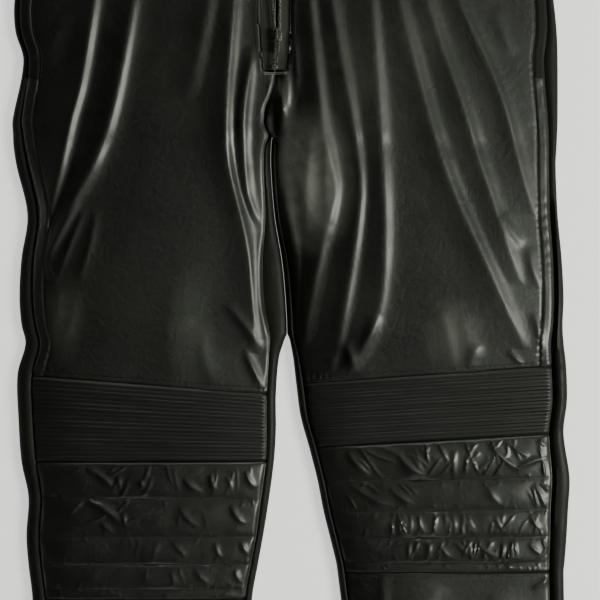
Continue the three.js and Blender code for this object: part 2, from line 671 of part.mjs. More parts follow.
// The pull tab lies towards the fly's foot. Its end bar turns in the handle's window, about the X axis.
function pullTab() {
  const { width, length, thickness, end, corner, shoulder, taper, toe } = pull;
  const side = width / 2;
  const shape = new THREE.Shape();
  shape.moveTo(corner - side, end / 2);
  shape.lineTo(-side, -shoulder);
  shape.lineTo(taper - side, toe - length);
  shape.quadraticCurveTo(corner - side, -length, 0, -length);
  shape.quadraticCurveTo(side - corner, -length, side - taper, toe - length);
  shape.lineTo(side, -shoulder);
  shape.lineTo(side - corner, end / 2);
  const slotFoot = -end / 2 - pullSlot.length;
  const slot = new THREE.Path();
  slot.moveTo(-pullSlot.width / 2, -end / 2);
  slot.lineTo(pullSlot.width / 2, -end / 2);
  slot.lineTo(pullSlot.width / 2, slotFoot);
  slot.lineTo(-pullSlot.width / 2, slotFoot);
  const { radius, fromEnd, sides } = pullEye;
  const turns = steps(0, -2 * Math.PI, sides).slice(1);
  const eyePoint = (a) => new THREE.Vector2(radius * Math.cos(a), fromEnd - length + radius * Math.sin(a));
  const eye = new THREE.Path(turns.map(eyePoint));
  shape.holes.push(slot, eye);
  const geometry = new THREE.ExtrudeGeometry(shape, { depth: thickness, bevelEnabled: false, curveSegments: 5 });
  return closed(geometry.translate(0, 0, -thickness / 2));
}

const stop = { y: 318, length: 3, height: 1, spare: 1 };

// Height of the teeth's tops at a height on the fly
function teethTop(v) {
  const lift = -leather - layerGap + teethHeight;
  const right = straightValue(fly, "rightTeeth", v) - teethWidth;
  const left = straightValue(fly, "leftTeeth", v) + teethWidth;
  return Math.max(frontPoint(legs.right, right, v, lift).z, frontPoint(legs.left, left, v, lift).z);
}

function bottomStop() {
  const { y: v, length, height, spare } = stop;
  const x = (straightValue(fly, "rightTeeth", v) + straightValue(fly, "leftTeeth", v)) / 2;
  return closed(box(x, v, teethTop(v) + layerGap, 2 * teethWidth + spare, length, height));
}

for (const [name, leg] of Object.entries(legs)) {
  add(`front_${name}`, thighFront(leg), black);
  add(`knee_${name}`, kneeBand(leg), blackRib);
  add(`shin_${name}`, shinPanel(leg), black);
  add(`lower_front_${name}`, lowerFront(leg), black);
  add(`back_${name}`, backPanel(leg), black);
  add(`waistband_${name}`, waistbandFront(leg), black);
  add(`pocket_facing_${name}`, pocketFacing(leg), black);
  add(`fly_tape_${name}`, flyTape(leg), blackTape);
}
add("waistband_back", waistbandBack(), black);
add("waist_stud", waistStud(), agedMetal);
add("fly_stop", bottomStop(), agedMetal);

const sliderHeight = teethTop(sliderPlace.y + plateSize.length / 2) + layerGap;
add("fly_slider", slider().translate(sliderPlace.x, sliderPlace.y, sliderHeight), agedMetal);
add("fly_pull", pullTab().translate(sliderPlace.x, sliderPlace.y, sliderHeight + pinHeight), agedMetal);

export default trousers;
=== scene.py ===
"""Leather trousers laid flat, face up, on a pale floor and seen from straight above."""

import math
from collections import namedtuple

import bpy
import numpy as np
from mathutils import Matrix, Vector


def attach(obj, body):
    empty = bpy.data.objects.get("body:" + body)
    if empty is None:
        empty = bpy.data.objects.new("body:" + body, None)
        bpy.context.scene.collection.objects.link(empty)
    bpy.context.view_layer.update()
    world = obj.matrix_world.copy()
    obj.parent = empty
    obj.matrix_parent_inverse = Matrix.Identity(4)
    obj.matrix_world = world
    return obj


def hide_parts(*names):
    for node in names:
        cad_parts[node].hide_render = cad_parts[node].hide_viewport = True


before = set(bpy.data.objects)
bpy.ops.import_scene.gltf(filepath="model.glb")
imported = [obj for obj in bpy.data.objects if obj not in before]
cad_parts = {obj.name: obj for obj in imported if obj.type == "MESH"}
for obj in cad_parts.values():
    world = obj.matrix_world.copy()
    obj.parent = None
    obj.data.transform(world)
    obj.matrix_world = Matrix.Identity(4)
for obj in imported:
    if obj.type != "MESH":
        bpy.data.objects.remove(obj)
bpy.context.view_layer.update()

# Sizes are millimetres, turned into metres where a mesh gets its points.
MM = 0.001
LEATHER = 1.7
SEAM_GAP = 0.4
SIDE_RADIUS = 8
SIDE_SEAM_HEIGHT = 12
WAIST_Y = 525
WAISTBAND_FOOT = 490
HEM_Y = -525
HEM_DEPTH = 28
CROTCH_FLAT = 265
CROTCH_TURN = 252
CROTCH_Y = 240
# Between these heights the fronts' form follows the crotch's turn slowly
CROTCH_SOFT_FOOT = 170
CROTCH_SOFT = 310
FLY_FOOT = 313
RIB_COUNT = 18
RIB_HEIGHT = 1.0
PAD_HEIGHT = 3.2
MIDDLE_X = -16
MIDDLE_CLEARANCE = 0.05
# Where rows of stitches run beside a seam, and the band along a side seam
ROW_INSET = 4
SIDE_BAND = 12
SIDE_ROWS_TOP = 300
# Folds and relief fade out over these margins beside a seam
FOLD_MARGIN = 14
RELIEF_MARGIN = 5
# Half the length, width and height of a stitch, and the size of a zip tooth
STITCH = (1.35, 0.42, 0.34)
TOOTH = (2.8, 1.2, 1.3)
TOOTH_ROUNDING = 0.25


def table(kind, rows):
    return [kind(*row) for row in rows]


# One row for each section from the waist to the hem: the middle's height, how much higher the outer end
# lies than the inner end, the two edges, how far the seams lie inside them, the inner seam's height
# above the floor, and the rise of the front between them
Section = namedtuple("Section", "y slant outer inner outer_inset inner_inset inseam crown")
RIGHT_SECTIONS = table(Section, [
    (525, 0, -240, -16, 6, 0, 20, 5),
    (490, 0, -255, -16, 6, 0, 21, 6),
    (440, 0, -270, -16, 6, 0, 22, 8),
    (385, 0, -278, -16, 6, 0, 22, 9),
    (355, 0, -277, -16, 6, 0, 22, 9),
    (325, 0, -269, -16, 6, 0, 22, 9),
    (265, 0, -280, -18, 9, 0, 21, 10),
    (252, 0, -279.5, -18.5, 10, 0, 21, 10),
    (240, 0, -279, -20.5, 11, 5, 20, 10),
    (220, 0, -276, -21, 12, 6, 17, 12),
    (170, 1, -265, -17.5, 11, 8, 14, 13),
    (125, 3, -271, -10, 12, 18, 13, 13),
    (85, 6, -273, -6.5, 13, 20, 13, 12),
    (55, 10, -271, -6, 14, 15, 13, 11),
    (34, 13, -267, -12, 14, 10, 12, 10),
    (0, 18, -275, -15, 15, 9, 12, 9),
    (-40, 9, -274, -15, 15, 9, 12, 9),
    (-77, 0, -271, -17, 15, 8, 12, 9),
    (-114, 2, -264, -22, 13, 8, 12, 8),
    (-152, 1, -266, -28, 13, 7, 12, 8),
    (-180, 0, -264, -33, 13, 7, 12, 8),
    (-215, 0, -260, -39, 13, 7, 12, 8),
    (-370, 0, -255, -49, 12, 7, 12, 8),
    (-525, 0, -252, -56, 12, 7, 12, 7),
])
LEFT_SECTIONS = table(Section, [
    (525, 0, 232, -16, 8, 0, 20, 5),
    (490, 0, 244, -16, 8, 0, 21, 6),
    (440, 0, 257, -16, 8, 0, 22, 8),
    (385, 0, 264, -16, 8, 0, 22, 9),
    (355, 0, 267, -16, 10, 0, 22, 9),
    (325, 0, 268, -16, 14, 0, 22, 9),
    (265, 0, 268, -18, 10, 0, 21, 10),
    (252, 0, 267.5, -18.5, 9, 0, 21, 10),
    (240, 0, 267, -19.3, 8, 4, 20, 10),
    (220, 0, 266, -19.6, 7, 4, 17, 12),
    (170, 1, 268, -15.5, 8, 4, 14, 13),
    (125, 3, 272, -8, 9, 5, 13, 13),
    (85, 6, 274, -4, 10, 5, 13, 12),
    (55, 10, 273, -2, 10, 5, 13, 11),
    (34, 14, 274, 2, 13, 6, 12, 10),
    (10, 17, 276.5, 5, 15, 7, 12, 9),
    (-24, 15, 277.5, 9.5, 15, 7, 12, 9),
    (-56, 13, 274, 18, 15, 7, 12, 9),
    (-95, 3, 280, 26.5, 18, 7, 12, 8),
    (-126, 2, 278.5, 32.5, 18, 7, 12, 8),
    (-153, 1, 277, 39, 17, 7, 12, 8),
    (-178, 0, 275, 45, 16, 7, 12, 8),
    (-188, 0, 274, 46.5, 15, 7, 12, 8),
    (-370, 0, 277, 69, 13, 7, 12, 8),
    (-525, 0, 276, 82, 12, 7, 12, 7),
])

# side is +1 where the inner edge lies towards +X
Leg = namedtuple("Leg", "name side sections knee_top knee_foot channels")
RIGHT = Leg("right", 1, RIGHT_SECTIONS, 0, -77, (-77, -114, -152, -180, -205, -215))
LEFT = Leg("left", -1, LEFT_SECTIONS, 10, -56, (-56, -95, -126, -153, -178, -188))
LEGS = (RIGHT, LEFT)

# The fly: the fronts' lips and the two rows of teeth, from the waistband to its foot
Fly = namedtuple("Fly", "y right_lip left_lip right_teeth left_teeth")
FLY = table(Fly, [
    (490, -23, -9, -18.6, -13.4),
    (440, -31, -2, -20, -12),
    (385, -31, -1, -17.6, -12.4),
    (362, -30.5, -1, -15.6, -12.8),
    (344, -29.5, -2, -14.3, -13.9),
    (313, -26.5, -5, -17.2, -16.8),
])

# Long ridges of the thigh fronts, each along a path of places. flank is the width of the side that
# faces the wearer's right, lee the width of the other side.
Fold = namedtuple("Fold", "path flank lee height")
FOLDS = table(Fold, [
    ([(-182, 476), (-196, 385), (-210, 300), (-219, 267), (-232, 210), (-251, 140)], 17, 6, 6.3),
    ([(-150, 450), (-157, 385), (-179, 270), (-197, 220), (-219, 180), (-248, 125)], 16, 7, 5.7),
    ([(-72, 470), (-82, 385), (-102, 285)], 15, 13, 4),
    ([(-52, 475), (-57, 385), (-64, 285), (-63, 225), (-46, 150), (-40, 105), (-36, 32)], 17, 6, 6),
    ([(-38, 340), (-47, 265), (-44, 195), (-35, 170), (-26, 158)], 8, 5, 4),
    ([(-6, 340), (-9, 285), (-18, 225), (-7, 178), (1, 135), (4, 60)], 9, 6.5, 6.4),
    ([(10, 475), (19, 385), (32, 255), (44, 195), (31, 140), (15, 60), (10, 34)], 15, 7, 4.9),
    ([(33, 480), (41, 385), (65, 245), (69, 185), (48, 45), (40, 12)], 13, 6.5, 4.9),
    ([(76, 480), (81, 385), (93, 185), (91, 95), (80, 55), (48, 12)], 16, 7, 4.5),
    ([(86, 488), (108, 385), (153, 220), (198, 115), (234, 36)], 17, 7, 4.9),
    ([(116, 472), (136, 385), (173, 275), (188, 225), (230, 100)], 13, 6, 4),
    ([(146, 458), (168, 385), (208, 295), (233, 205), (244, 168)], 11, 6, 3.6),
])

# Shorter creases, each from start to end, bowed to its right, with half its width and its height
Crease = namedtuple("Crease", "start end bow width height")
THIGH_CREASES = table(Crease, [
    ((-211, 182), (-247, 118), 2, 3.5, 1.8),
    ((-205, 178), (-235, 103), 1, 3.5, 1.8),
    ((-194, 176), (-212, 104), -2, 4, 1.6),
    ((-246, 126), (-232, 98), 2, 3, 1.4),
    ((-229, 100), (-240, 30), 2, 6, 1.2),
    ((-214, 95), (-230, 36), -2, 7, 1.2),
    ((-66, 82), (-29, 34), -2, 5, 2),
    ((-46, 36), (-28, -4), 1, 4.5, 2.6),
    ((-92, 60), (-76, -4), 3, 11, 2),
    ((-221, 372), (-250, 305), 4, 11, 2),
    ((-36, 330), (-52, 238), 5, 7, 2),
    ((218, 36), (232, 20), 1, 3, 1.4),
    ((189, 42), (178, 16), 2, 6, 1.8),
    ((148, 78), (162, 17), -2, 8, 2.2),
    ((170, 72), (188, 24), 3, 9, 1.6),
    ((53, 44), (62, 12), -2, 6, 3),
    ((86, 70), (58, 14), -4, 6, 3),
    ((4, 210), (42, 146), 6, 13, 2.2),
    ((212, 172), (232, 140), 2, 5, 1.5),
    ((238, 136), (250, 96), 2, 5, 1.5),
    ((242, 72), (251, 34), -2, 4, 1.4),
    ((-17, 306), (-18, 288), 0, 1.3, 0.9),
    ((-13, 306), (-12, 286), 0, 1.3, 1),
    ((-21, 304), (-23, 290), 0, 1.2, 0.8),
    ((204, 378), (222, 330), 2, 6, 1.2),
    ((-19, 276), (-15, 246), 0, 6, -3),
    ((4, 350), (6, 284), 0, 3.5, 1.8),
    ((-14, 307), (-12, 282), 0, 2, 2.2),
    ((-9, 306), (-7, 266), 1, 2.4, 2.6),
    ((-3, 308), (-3, 276), 0, 2.4, 2),
    ((-23, 150), (-25, 46), 1, 10, 3),
    ((22, 258), (16, 150), 3, 8, 3.6),
    ((36, 250), (38, 160), 2, 7, 2.8),
])
LEFT_SHIN_CREASES = table(Crease, [
    ((164, -64), (163, -92), 1, 2.4, 2),
    ((176, -80), (188, -66), 1, 2.6, 1.6),
    ((186, -88), (205, -74), -2, 2.6, 1.6),
    ((197, -55), (230, -86), 3, 3.2, 2.2),
    ((213, -54), (238, -72), 1, 2.6, 1.4),
    ((226, -84), (258, -73), -2, 3, 2),
    ((249, -52), (254, -62), 1, 2.6, 1.4),
    ((56, -66), (80, -92), 2, 3.4, 1.8),
    ((84, -62), (112, -72), -2, 3, 1.2),
    ((106, -68), (136, -93), 3, 3.6, 1.8),
    ((128, -62), (150, -74), 2, 3, 1.2),
    ((60, -99), (104, -123), 3, 3.4, 1.4),
    ((99, -103), (122, -120), 1, 3, 1.2),
    ((196, -101), (212, -122), 2, 3.4, 1),
    ((244, -99), (255, -116), 1, 2.8, 1.4),
    ((108, -129), (110, -150), 1, 2.2, 1.2),
    ((119, -128), (118, -151), -1, 2, 1.2),
    ((127, -129), (134, -150), 1, 2.2, 1.3),
    ((146, -128), (143, -151), 1, 2.4, 1.2),
    ((161, -129), (163, -150), -1, 2.2, 1.3),
    ((172, -130), (186, -149), 2, 2.6, 1.1),
    ((204, -129), (214, -150), 1, 2.6, 1),
    ((240, -130), (250, -146), 1, 2.6, 1.4),
    ((119, -156), (118, -176), 1, 2.2, 1.2),
    ((138, -155), (136, -176), -1, 2.2, 1.2),
    ((147, -157), (160, -174), 1, 2.6, 1.3),
    ((164, -156), (182, -172), 1, 3, 1.3),
    ((184, -157), (212, -174), 2, 3.2, 1.2),
    ((238, -158), (252, -171), 1, 2.6, 1.2),
])
RIGHT_SHIN_CREASES = table(Crease, [
    ((-204, -84), (-178, -102), -2, 3.4, 2.2),
    ((-173, -90), (-171, -104), 0, 2.4, 1.4),
    ((-150, -94), (-148, -103), 0, 2.2, 1.4),
    ((-107, -94), (-88, -108), 2, 3.2, 1.8),
    ((-80, -88), (-76, -106), 1, 2.6, 1.6),
    ((-64, -90), (-60, -108), -1, 2.6, 1.2),
    ((-46, -86), (-36, -104), 1, 3, 1.8),
    ((-207, -114), (-168, -140), -3, 4, 2.4),
    ((-168, -128), (-165, -142), 0, 2.4, 1.6),
    ((-190, -136), (-176, -150), 1, 2.8, 1),
    ((-112, -122), (-92, -142), 2, 3.4, 1.2),
    ((-60, -120), (-46, -140), 2, 3.4, 1.6),
    ((-118, -156), (-104, -172), 1, 3, 1),
    ((-76, -157), (-70, -174), 1, 2.6, 1.2),
    ((-50, -156), (-42, -172), 1, 3, 1.6),
    ((-96, -184), (-82, -200), 1, 3, 1),
    ((-56, -184), (-50, -199), 1, 2.8, 1.4),
])
LOWER_CREASES = table(Crease, [
    ((93, -186), (95, -330), 2, 5, 2.4),
    ((126, -180), (118, -340), 4, 30, 4),
    ((242, -204), (262, -192), 1, 3, 1.6),
    ((150, -200), (120, -250), 4, 14, 2.4),
    ((200, -210), (236, -270), -4, 12, 1.8),
    ((130, -330), (190, -420), 8, 16, 2),
    ((226, -340), (214, -470), 6, 12, 1.6),
    ((-210, -225), (-190, -330), 6, 12, 1.8),
    ((-90, -225), (-76, -320), -5, 12, 1.8),
    ((-200, -380), (-130, -440), 8, 16, 2),
    ((-90, -400), (-100, -480), 5, 10, 1.5),
])


def smooth_curve(heights, values, y):
    """Values at heights y, by cubic spans between the rising heights given."""
    slopes = np.gradient(values, heights)
    slopes[1:-1] = (values[2:] - values[:-2]) / (heights[2:] - heights[:-2])
    i = np.clip(np.searchsorted(heights, y, side="right") - 1, 0, len(heights) - 2)
    span = heights[i + 1] - heights[i]
    t = np.clip((y - heights[i]) / span, 0, 1)
    rise = t * t * (3 - 2 * t)
    bend = t * (1 - t) * (1 - t) * span * slopes[i] + t * t * (t - 1) * span * slopes[i + 1]
    return values[i] + (values[i + 1] - values[i]) * rise + bend


def smooth_column(table, column, y):
    heights = np.array([row.y for row in table], float)[::-1]
    values = np.array([getattr(row, column) for row in table], float)[::-1]
    return smooth_curve(heights, values, y)


def straight_column(table, column, y):
    heights = [row.y for row in table][::-1]
    values = [getattr(row, column) for row in table][::-1]
    return np.interp(y, heights, values)


def smoothstep(low, high, x):
    t = np.clip((x - low) / (high - low), 0, 1)
    return t * t * (3 - 2 * t)


def bell(distance, width):
    """1 at no distance, nearly 0 from two widths on."""
    return np.exp(-((distance / width) ** 2))


def fold_height(x, y):
    height = np.zeros_like(x)
    for fold in FOLDS:
        places = np.array(fold.path, float)[::-1]
        crest = smooth_curve(places[:, 1], places[:, 0], y)
        top, foot = places[-1, 1], places[0, 1]
        along = np.clip((top - y) / (top - foot), 0, 1)
        across = x - crest
        width = np.where(across < 0, fold.flank, fold.lee)
        ridge = fold.height * np.sqrt(np.sin(math.pi * along)) * np.exp(-np.abs(across / width) ** 1.45)
        height = np.maximum(height, ridge)
    return height


def crease_height(x, y, creases):
    height = np.zeros_like(x)
    for crease in creases:
        (x0, y0), (x1, y1) = crease.start, crease.end
        dx, dy = x1 - x0, y1 - y0
        length = math.hypot(dx, dy)
        t = ((x - x0) * dx + (y - y0) * dy) / length**2
        bow = 4 * crease.bow * t * (1 - t)
        across = ((x - x0) * dy - (y - y0) * dx) / length - bow
        fade = np.sin(math.pi * np.clip(t, 0, 1)) ** 0.7
        height += crease.height * fade * np.exp(-np.abs(across / crease.width) ** 1.6)
    return height


def slow_waves(x, y):
    """Low, wide unevenness of lying leather."""
    wave = 0.5 * np.sin(x / 31 + 1.7 * np.sin(y / 83)) * np.sin(y / 47 + 0.9 * np.sin(x / 59))
    return wave + 0.25 * np.sin(x / 13 + y / 29) * np.sin(y / 19 - x / 37)


def leg_edges(leg, v):
    """Where the front's two seams lie across, and the section's other values, at heights v."""
    row = {c: smooth_column(leg.sections, c, v) for c in Section._fields if c != "y"}
    row["start"] = row["outer"] + leg.side * row["outer_inset"]
    row["end"] = row["inner"] - leg.side * row["inner_inset"]
    return row


def front_form(leg, x, v):
    """The smooth form of a leg's front at places x across and heights v, as x, y and z."""
    row = leg_edges(leg, v)
    # At the crotch the seam turns in quickly, and the form above it follows more slowly
    in_crotch = (v > CROTCH_SOFT_FOOT) & (v < CROTCH_SOFT)
    foot_inset = smooth_column(leg.sections, "inner_inset", CROTCH_SOFT_FOOT + 0 * v)
    slow_inset = foot_inset * (1 - smoothstep(CROTCH_SOFT_FOOT, CROTCH_SOFT, v))
    inset = np.where(in_crotch, slow_inset, row["inner_inset"])
    end = row["inner"] - leg.side * inset
    share = (x - row["start"]) / (end - row["start"])
    y = v + row["slant"] * (0.5 - share)
    from_edge = np.minimum(np.abs(x - row["start"]), np.abs(end - x))
    z = SIDE_SEAM_HEIGHT + (row["inseam"] - SIDE_SEAM_HEIGHT) * share
    # The side that faces the wearer's left falls away gently, the other is fuller
    off_middle = 2 * share - 1
    fullness = np.where(leg.side * off_middle > 0, 2.0, 5.0)
    z = z + row["crown"] * (1 - np.abs(off_middle) ** fullness)
    return y, z + fold_height(x, y) * smoothstep(0, FOLD_MARGIN, from_edge)


def middle_seam_bend(v):
    """How far the middle seam strays to the wearer's right between the fly and the crotch."""
    return -9 * smoothstep(302, 272, v) * smoothstep(242, 262, v)


def inner_seam(leg, v):
    return leg_edges(leg, v)["end"] - leg.side * SEAM_GAP / 2 + middle_seam_bend(v)


def front_end(leg, v):
    """Inner edge of a front: the fly's lip above the fly's foot, and the seam below it."""
    lip = straight_column(FLY, "right_lip" if leg.side > 0 else "left_lip", v)
    return np.where(v >= FLY_FOOT, lip, inner_seam(leg, v))


def press_together(leg, v):
    """How far a leg's inner side moves to touch the other leg above the gap between them."""
    gap = smooth_column(LEFT_SECTIONS, "inner", v) - smooth_column(RIGHT_SECTIONS, "inner", v)
    clearance = 0.06
    return leg.side * (gap / 2 - clearance) * smoothstep(51, 57, v) * smoothstep(256, 250, v)


def deselect():
    bpy.ops.object.select_all(action="DESELECT")


def grid(name, columns, rows):
    """A flat grid piece, and its points' shares across and up from 0 to 1."""
    deselect()
    bpy.ops.mesh.primitive_grid_add(x_subdivisions=columns, y_subdivisions=rows, size=2)
    piece = bpy.context.object
    piece.name = name
    piece.data.name = name
    points = np.empty(len(piece.data.vertices) * 3)
    piece.data.vertices.foreach_get("co", points)
    points = points.reshape(-1, 3)
    return piece, (points[:, 0] + 1) / 2, (points[:, 1] + 1) / 2


def place_points(piece, x, y, z):
    points = np.stack([x, y, z], axis=1) * MM
    piece.data.vertices.foreach_set("co", points.ravel())
    piece.data.update()


def crowd(t, share=0.55):
    """Moves shares of a length towards its two ends, so that points lie closer there."""
    return t * (1 - share) + share * (1 - np.cos(math.pi * t)) / 2


def give_thickness(piece, thickness):
    """Turns a sheet into a wall that lies below it."""
    bpy.context.view_layer.objects.active = piece
    solid = piece.modifiers.new("wall", "SOLIDIFY")
    solid.thickness = thickness * MM
    solid.offset = -1
    bpy.ops.object.modifier_apply(modifier=solid.name)
    shade(piece)


def shade(piece, degrees=48):
    deselect()
    piece.select_set(True)
    bpy.context.view_layer.objects.active = piece
    bpy.ops.object.shade_smooth_by_angle(angle=math.radians(degrees))


def finish_piece(piece, material, nodes=(), body="garment"):
    piece.data.materials.clear()
    piece.data.materials.append(material)
    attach(piece, body)
    if nodes:
        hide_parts(*nodes)


def declare_cut(leg, top, foot):
    """Works out the area of the flat piece of leather a front panel was cut from, and keeps it nowhere."""
    heights = np.linspace(foot, top, 30)
    row = leg_edges(leg, heights)
    crown_allowance = 6
    widths = np.abs(row["end"] - row["start"]) + crown_allowance
    length = (top - foot) * MM
    area = float(widths.mean()) * MM * length


def front_panel(name, leg, top, foot, counts, relief, even_rows=False):
    """A front panel between two heights. relief gives what stands on the smooth form."""
    columns, rows = counts
    piece, across, up = grid(name, columns, rows)
    s = crowd(across if leg.side > 0 else 1 - across)
    v = foot + SEAM_GAP / 2 + (top - foot - SEAM_GAP) * (up if even_rows else crowd(up))
    row = leg_edges(leg, v)
    start = row["start"] + leg.side * SEAM_GAP / 2
    seam = inner_seam(leg, v)
    end = front_end(leg, v)
    # Only the last columns move out to the fly's lip
    x = start + (seam - start) * s + (end - seam) * smoothstep(0.94, 1, s)
    y, z = front_form(leg, x, v)
    to_side = np.minimum(np.abs(x - start), np.abs(end - x))
    to_end = np.minimum(top - v, v - foot)
    z = z + relief(x, y, v, s) * smoothstep(0, RELIEF_MARGIN, to_side)
    # The edges sink into the seams
    z = z - 1.3 * bell(to_side, 1.5) - 1.1 * bell(to_end, 1.4)
    place_points(piece, x, y, z)
    give_thickness(piece, LEATHER)
    return piece


def puckers(x, length=5.5):
    """Uneven small gathers along a seam."""
    return np.sin(2 * math.pi * x / length + 1.9 * np.sin(x / 11)) * (0.6 + 0.4 * np.sin(x / 23 + 1))


def gathers(x, v, seam, left, right, seed, spacing=9.0, tall=1.0):
    """Short uneven creases that start at a seam and run away from it to either side."""
    chance = np.random.default_rng(seed)
    height = np.zeros_like(x)
    count = int((right - left) / spacing)
    for place in np.sort(chance.uniform(left, right, count)):
        reach = chance.uniform(3, 12)
        lean = chance.uniform(-0.7, 0.7)
        width = chance.uniform(0.8, 2.0)
        rise = tall * chance.uniform(0.1, 0.55)
        side = chance.choice([-1, 1])
        away = (v - seam) * side
        across = x - place - lean * away
        fade = smoothstep(0, 1.2, away) * (1 - smoothstep(0.4 * reach, reach, away))
        height += rise * fade * bell(across, width)
    return height


# Fields of small sharp crinkles: the corners, how many, the lean from upright in degrees and its
# spread, the height, and the seed of their places
Crinkles = namedtuple("Crinkles", "low high count lean spread height seed")
LEFT_SHIN_CRINKLES = table(Crinkles, [
    ((132, -90), (256, -58), 17, 8, 45, 1.5, 3),
    ((60, -92), (130, -64), 8, -40, 30, 0.8, 4),
    ((60, -122), (125, -98), 6, -45, 20, 0.9, 5),
    ((242, -124), (260, -98), 5, -20, 40, 1.1, 6),
    ((98, -151), (188, -129), 18, -12, 20, 1.3, 7),
    ((190, -151), (258, -129), 7, 25, 40, 0.9, 8),
    ((112, -176), (226, -155), 19, 6, 24, 1.2, 9),
    ((228, -176), (258, -156), 4, 10, 40, 1.0, 10),
])
RIGHT_SHIN_CRINKLES = table(Crinkles, [
    ((-215, -110), (-165, -82), 5, 40, 30, 1.0, 13),
    ((-165, -108), (-40, -84), 8, 5, 35, 0.8, 14),
    ((-215, -148), (-150, -118), 4, 50, 16, 1.0, 15),
    ((-140, -148), (-44, -118), 4, 20, 40, 0.5, 16),
    ((-210, -178), (-50, -156), 5, 20, 40, 0.5, 17),
    ((-205, -203), (-54, -184), 4, 20, 40, 0.5, 18),
])


def crinkle_height(x, y, fields):
    height = np.zeros_like(x)
    for field in fields:
        chance = np.random.default_rng(field.seed)
        for _ in range(field.count):
            cx = chance.uniform(field.low[0], field.high[0])
            cy = chance.uniform(field.low[1], field.high[1])
            angle = math.radians(field.lean + chance.uniform(-field.spread, field.spread))
            half = chance.uniform(0.25, 0.6) * (field.high[1] - field.low[1])
            width = chance.uniform(0.9, 2.1)
            rise = 1.5 * field.height * chance.uniform(0.35, 1.0)
            along = (x - cx) * math.sin(angle) + (y - cy) * math.cos(angle)
            across = (x - cx) * math.cos(angle) - (y - cy) * math.sin(angle)
            across = across + 0.04 * chance.uniform(-1, 1) * along**2 / half * 4
            sharp = np.exp(-np.abs(across / width) ** 1.5) * np.exp(-((along / half) ** 4))
            height = np.maximum(height, rise * sharp)
    return height


def thigh_relief(leg):
    def relief(x, y, v, s):
        row = leg_edges(leg, v)
        from_start = np.abs(x - row["start"])
        height = crease_height(x, y, THIGH_CREASES) + slow_waves(x, y)
        lip = np.where(v > FLY_FOOT - 1, 1.2 * bell(np.abs(x - front_end(leg, v)), 5), 0)
        # The side seam's allowance makes a low band with a gathered line of stitches beside it
        band = 0.7 * (1 - smoothstep(SIDE_BAND - 2, SIDE_BAND + 1, from_start))
        line = bell(from_start - SIDE_BAND, 2.2)
        gathered = 0.45 * puckers(y, 6.5) * line - 0.8 * bell(from_start - SIDE_BAND, 1.2)
        ribbing = 0.3 * puckers(y, 3.1) * bell(from_start - 5, 3)
        seam_row = 0.35 * puckers(x) * bell(v - leg.knee_top - 5, 3.5)
        stitch_row = -0.5 * bell(v - leg.knee_top - ROW_INSET, 1.0)
        return height + lip + band + gathered + ribbing + seam_row + stitch_row

    return relief


def rib_wave(leg, v):
    margin = 1.5
    pitch = (leg.knee_top - leg.knee_foot - 2 * margin) / RIB_COUNT
    phase = (leg.knee_top - margin - v) / pitch
    inside = (phase > 0) & (phase < RIB_COUNT)
    return np.where(inside, np.abs(np.sin(math.pi * phase)) ** 0.65, 0)


def knee_relief(leg):
    def relief(x, y, v, s):
        swell = 0.5 * np.sin(x / 38 + 0.6) + 0.3 * np.sin(x / 17)
        height = RIB_HEIGHT * (1 + 0.12 * np.sin(x / 21 + v / 3))
        return height * rib_wave(leg, v) + 0.6 * swell * np.sin(math.pi * s)

    return relief


def shin_relief(leg):
    creases = RIGHT_SHIN_CREASES if leg.side > 0 else LEFT_SHIN_CREASES
    fields = RIGHT_SHIN_CRINKLES if leg.side > 0 else LEFT_SHIN_CRINKLES
    # A channel of this depth or more is filled to the whole height, and a lower power is a fuller one
    full_depth, fullness = 26, 0.62

    def relief(x, y, v, s):
        height = np.zeros_like(x)
        small = np.zeros_like(x)
        to_seam = np.full_like(x, np.inf)
        row = leg_edges(leg, np.array([float(leg.channels[2])]))
        left, right = sorted((float(row["start"][0]), float(row["end"][0])))
        for k, (top, foot) in enumerate(zip(leg.channels, leg.channels[1:], strict=False)):
            t = np.clip((top - v) / (top - foot), 0, 1)
            puff = PAD_HEIGHT * min(1, (top - foot) / full_depth)
            height += puff * (4 * t * (1 - t)) ** fullness
            to_seam = np.minimum(to_seam, np.minimum(np.abs(v - top), np.abs(v - foot)))
            small += gathers(x, v, foot, left, right, 40 + 10 * leg.side + k)
        soft = smoothstep(0, 6, to_seam)
        sides = np.sin(math.pi * np.clip(s, 0, 1)) ** 0.35
        folded = np.maximum(crease_height(x, y, creases), crinkle_height(x, y, fields))
        return height * sides + (folded + slow_waves(2.2 * x, 2.2 * y)) * soft + small

    return relief


def lower_relief(leg):
    def relief(x, y, v, s):
        hem_line = HEM_Y + HEM_DEPTH
        hem = 0.8 * smoothstep(hem_line + 1, hem_line - 2, v)
        stitch = -0.5 * bell(v - hem_line, 1.0)
        gathered = 0.3 * puckers(x, 7) * bell(v - hem_line, 5)
        top_row = -0.5 * bell(leg.channels[-1] - v - ROW_INSET, 1.0)
        return crease_height(x, y, LOWER_CREASES) + slow_waves(x, y) + hem + stitch + gathered + top_row

    return relief


def rolled_side(edge, inward, inset, seam_height, count):
    """Points from a seam round the rolled side of a back to its flat underside."""
    angles = np.radians(np.linspace(90, -90, count))
    wide = seam_height / 2
    reach = np.where(angles > 0, inset, SIDE_RADIUS)
    x = edge + inward * reach * (1 - np.cos(angles))
    x[0] -= inward * SEAM_GAP / 2
    z = wide + wide * np.sin(angles)
    seam_dip = 1.0
    z[0] -= seam_dip
    return np.stack([x, z], axis=1)


def flat_middle(edge, inward, count):
    x = edge + inward * np.linspace(MIDDLE_CLEARANCE, 24, count)
    return np.stack([x, np.zeros(count)], axis=1)


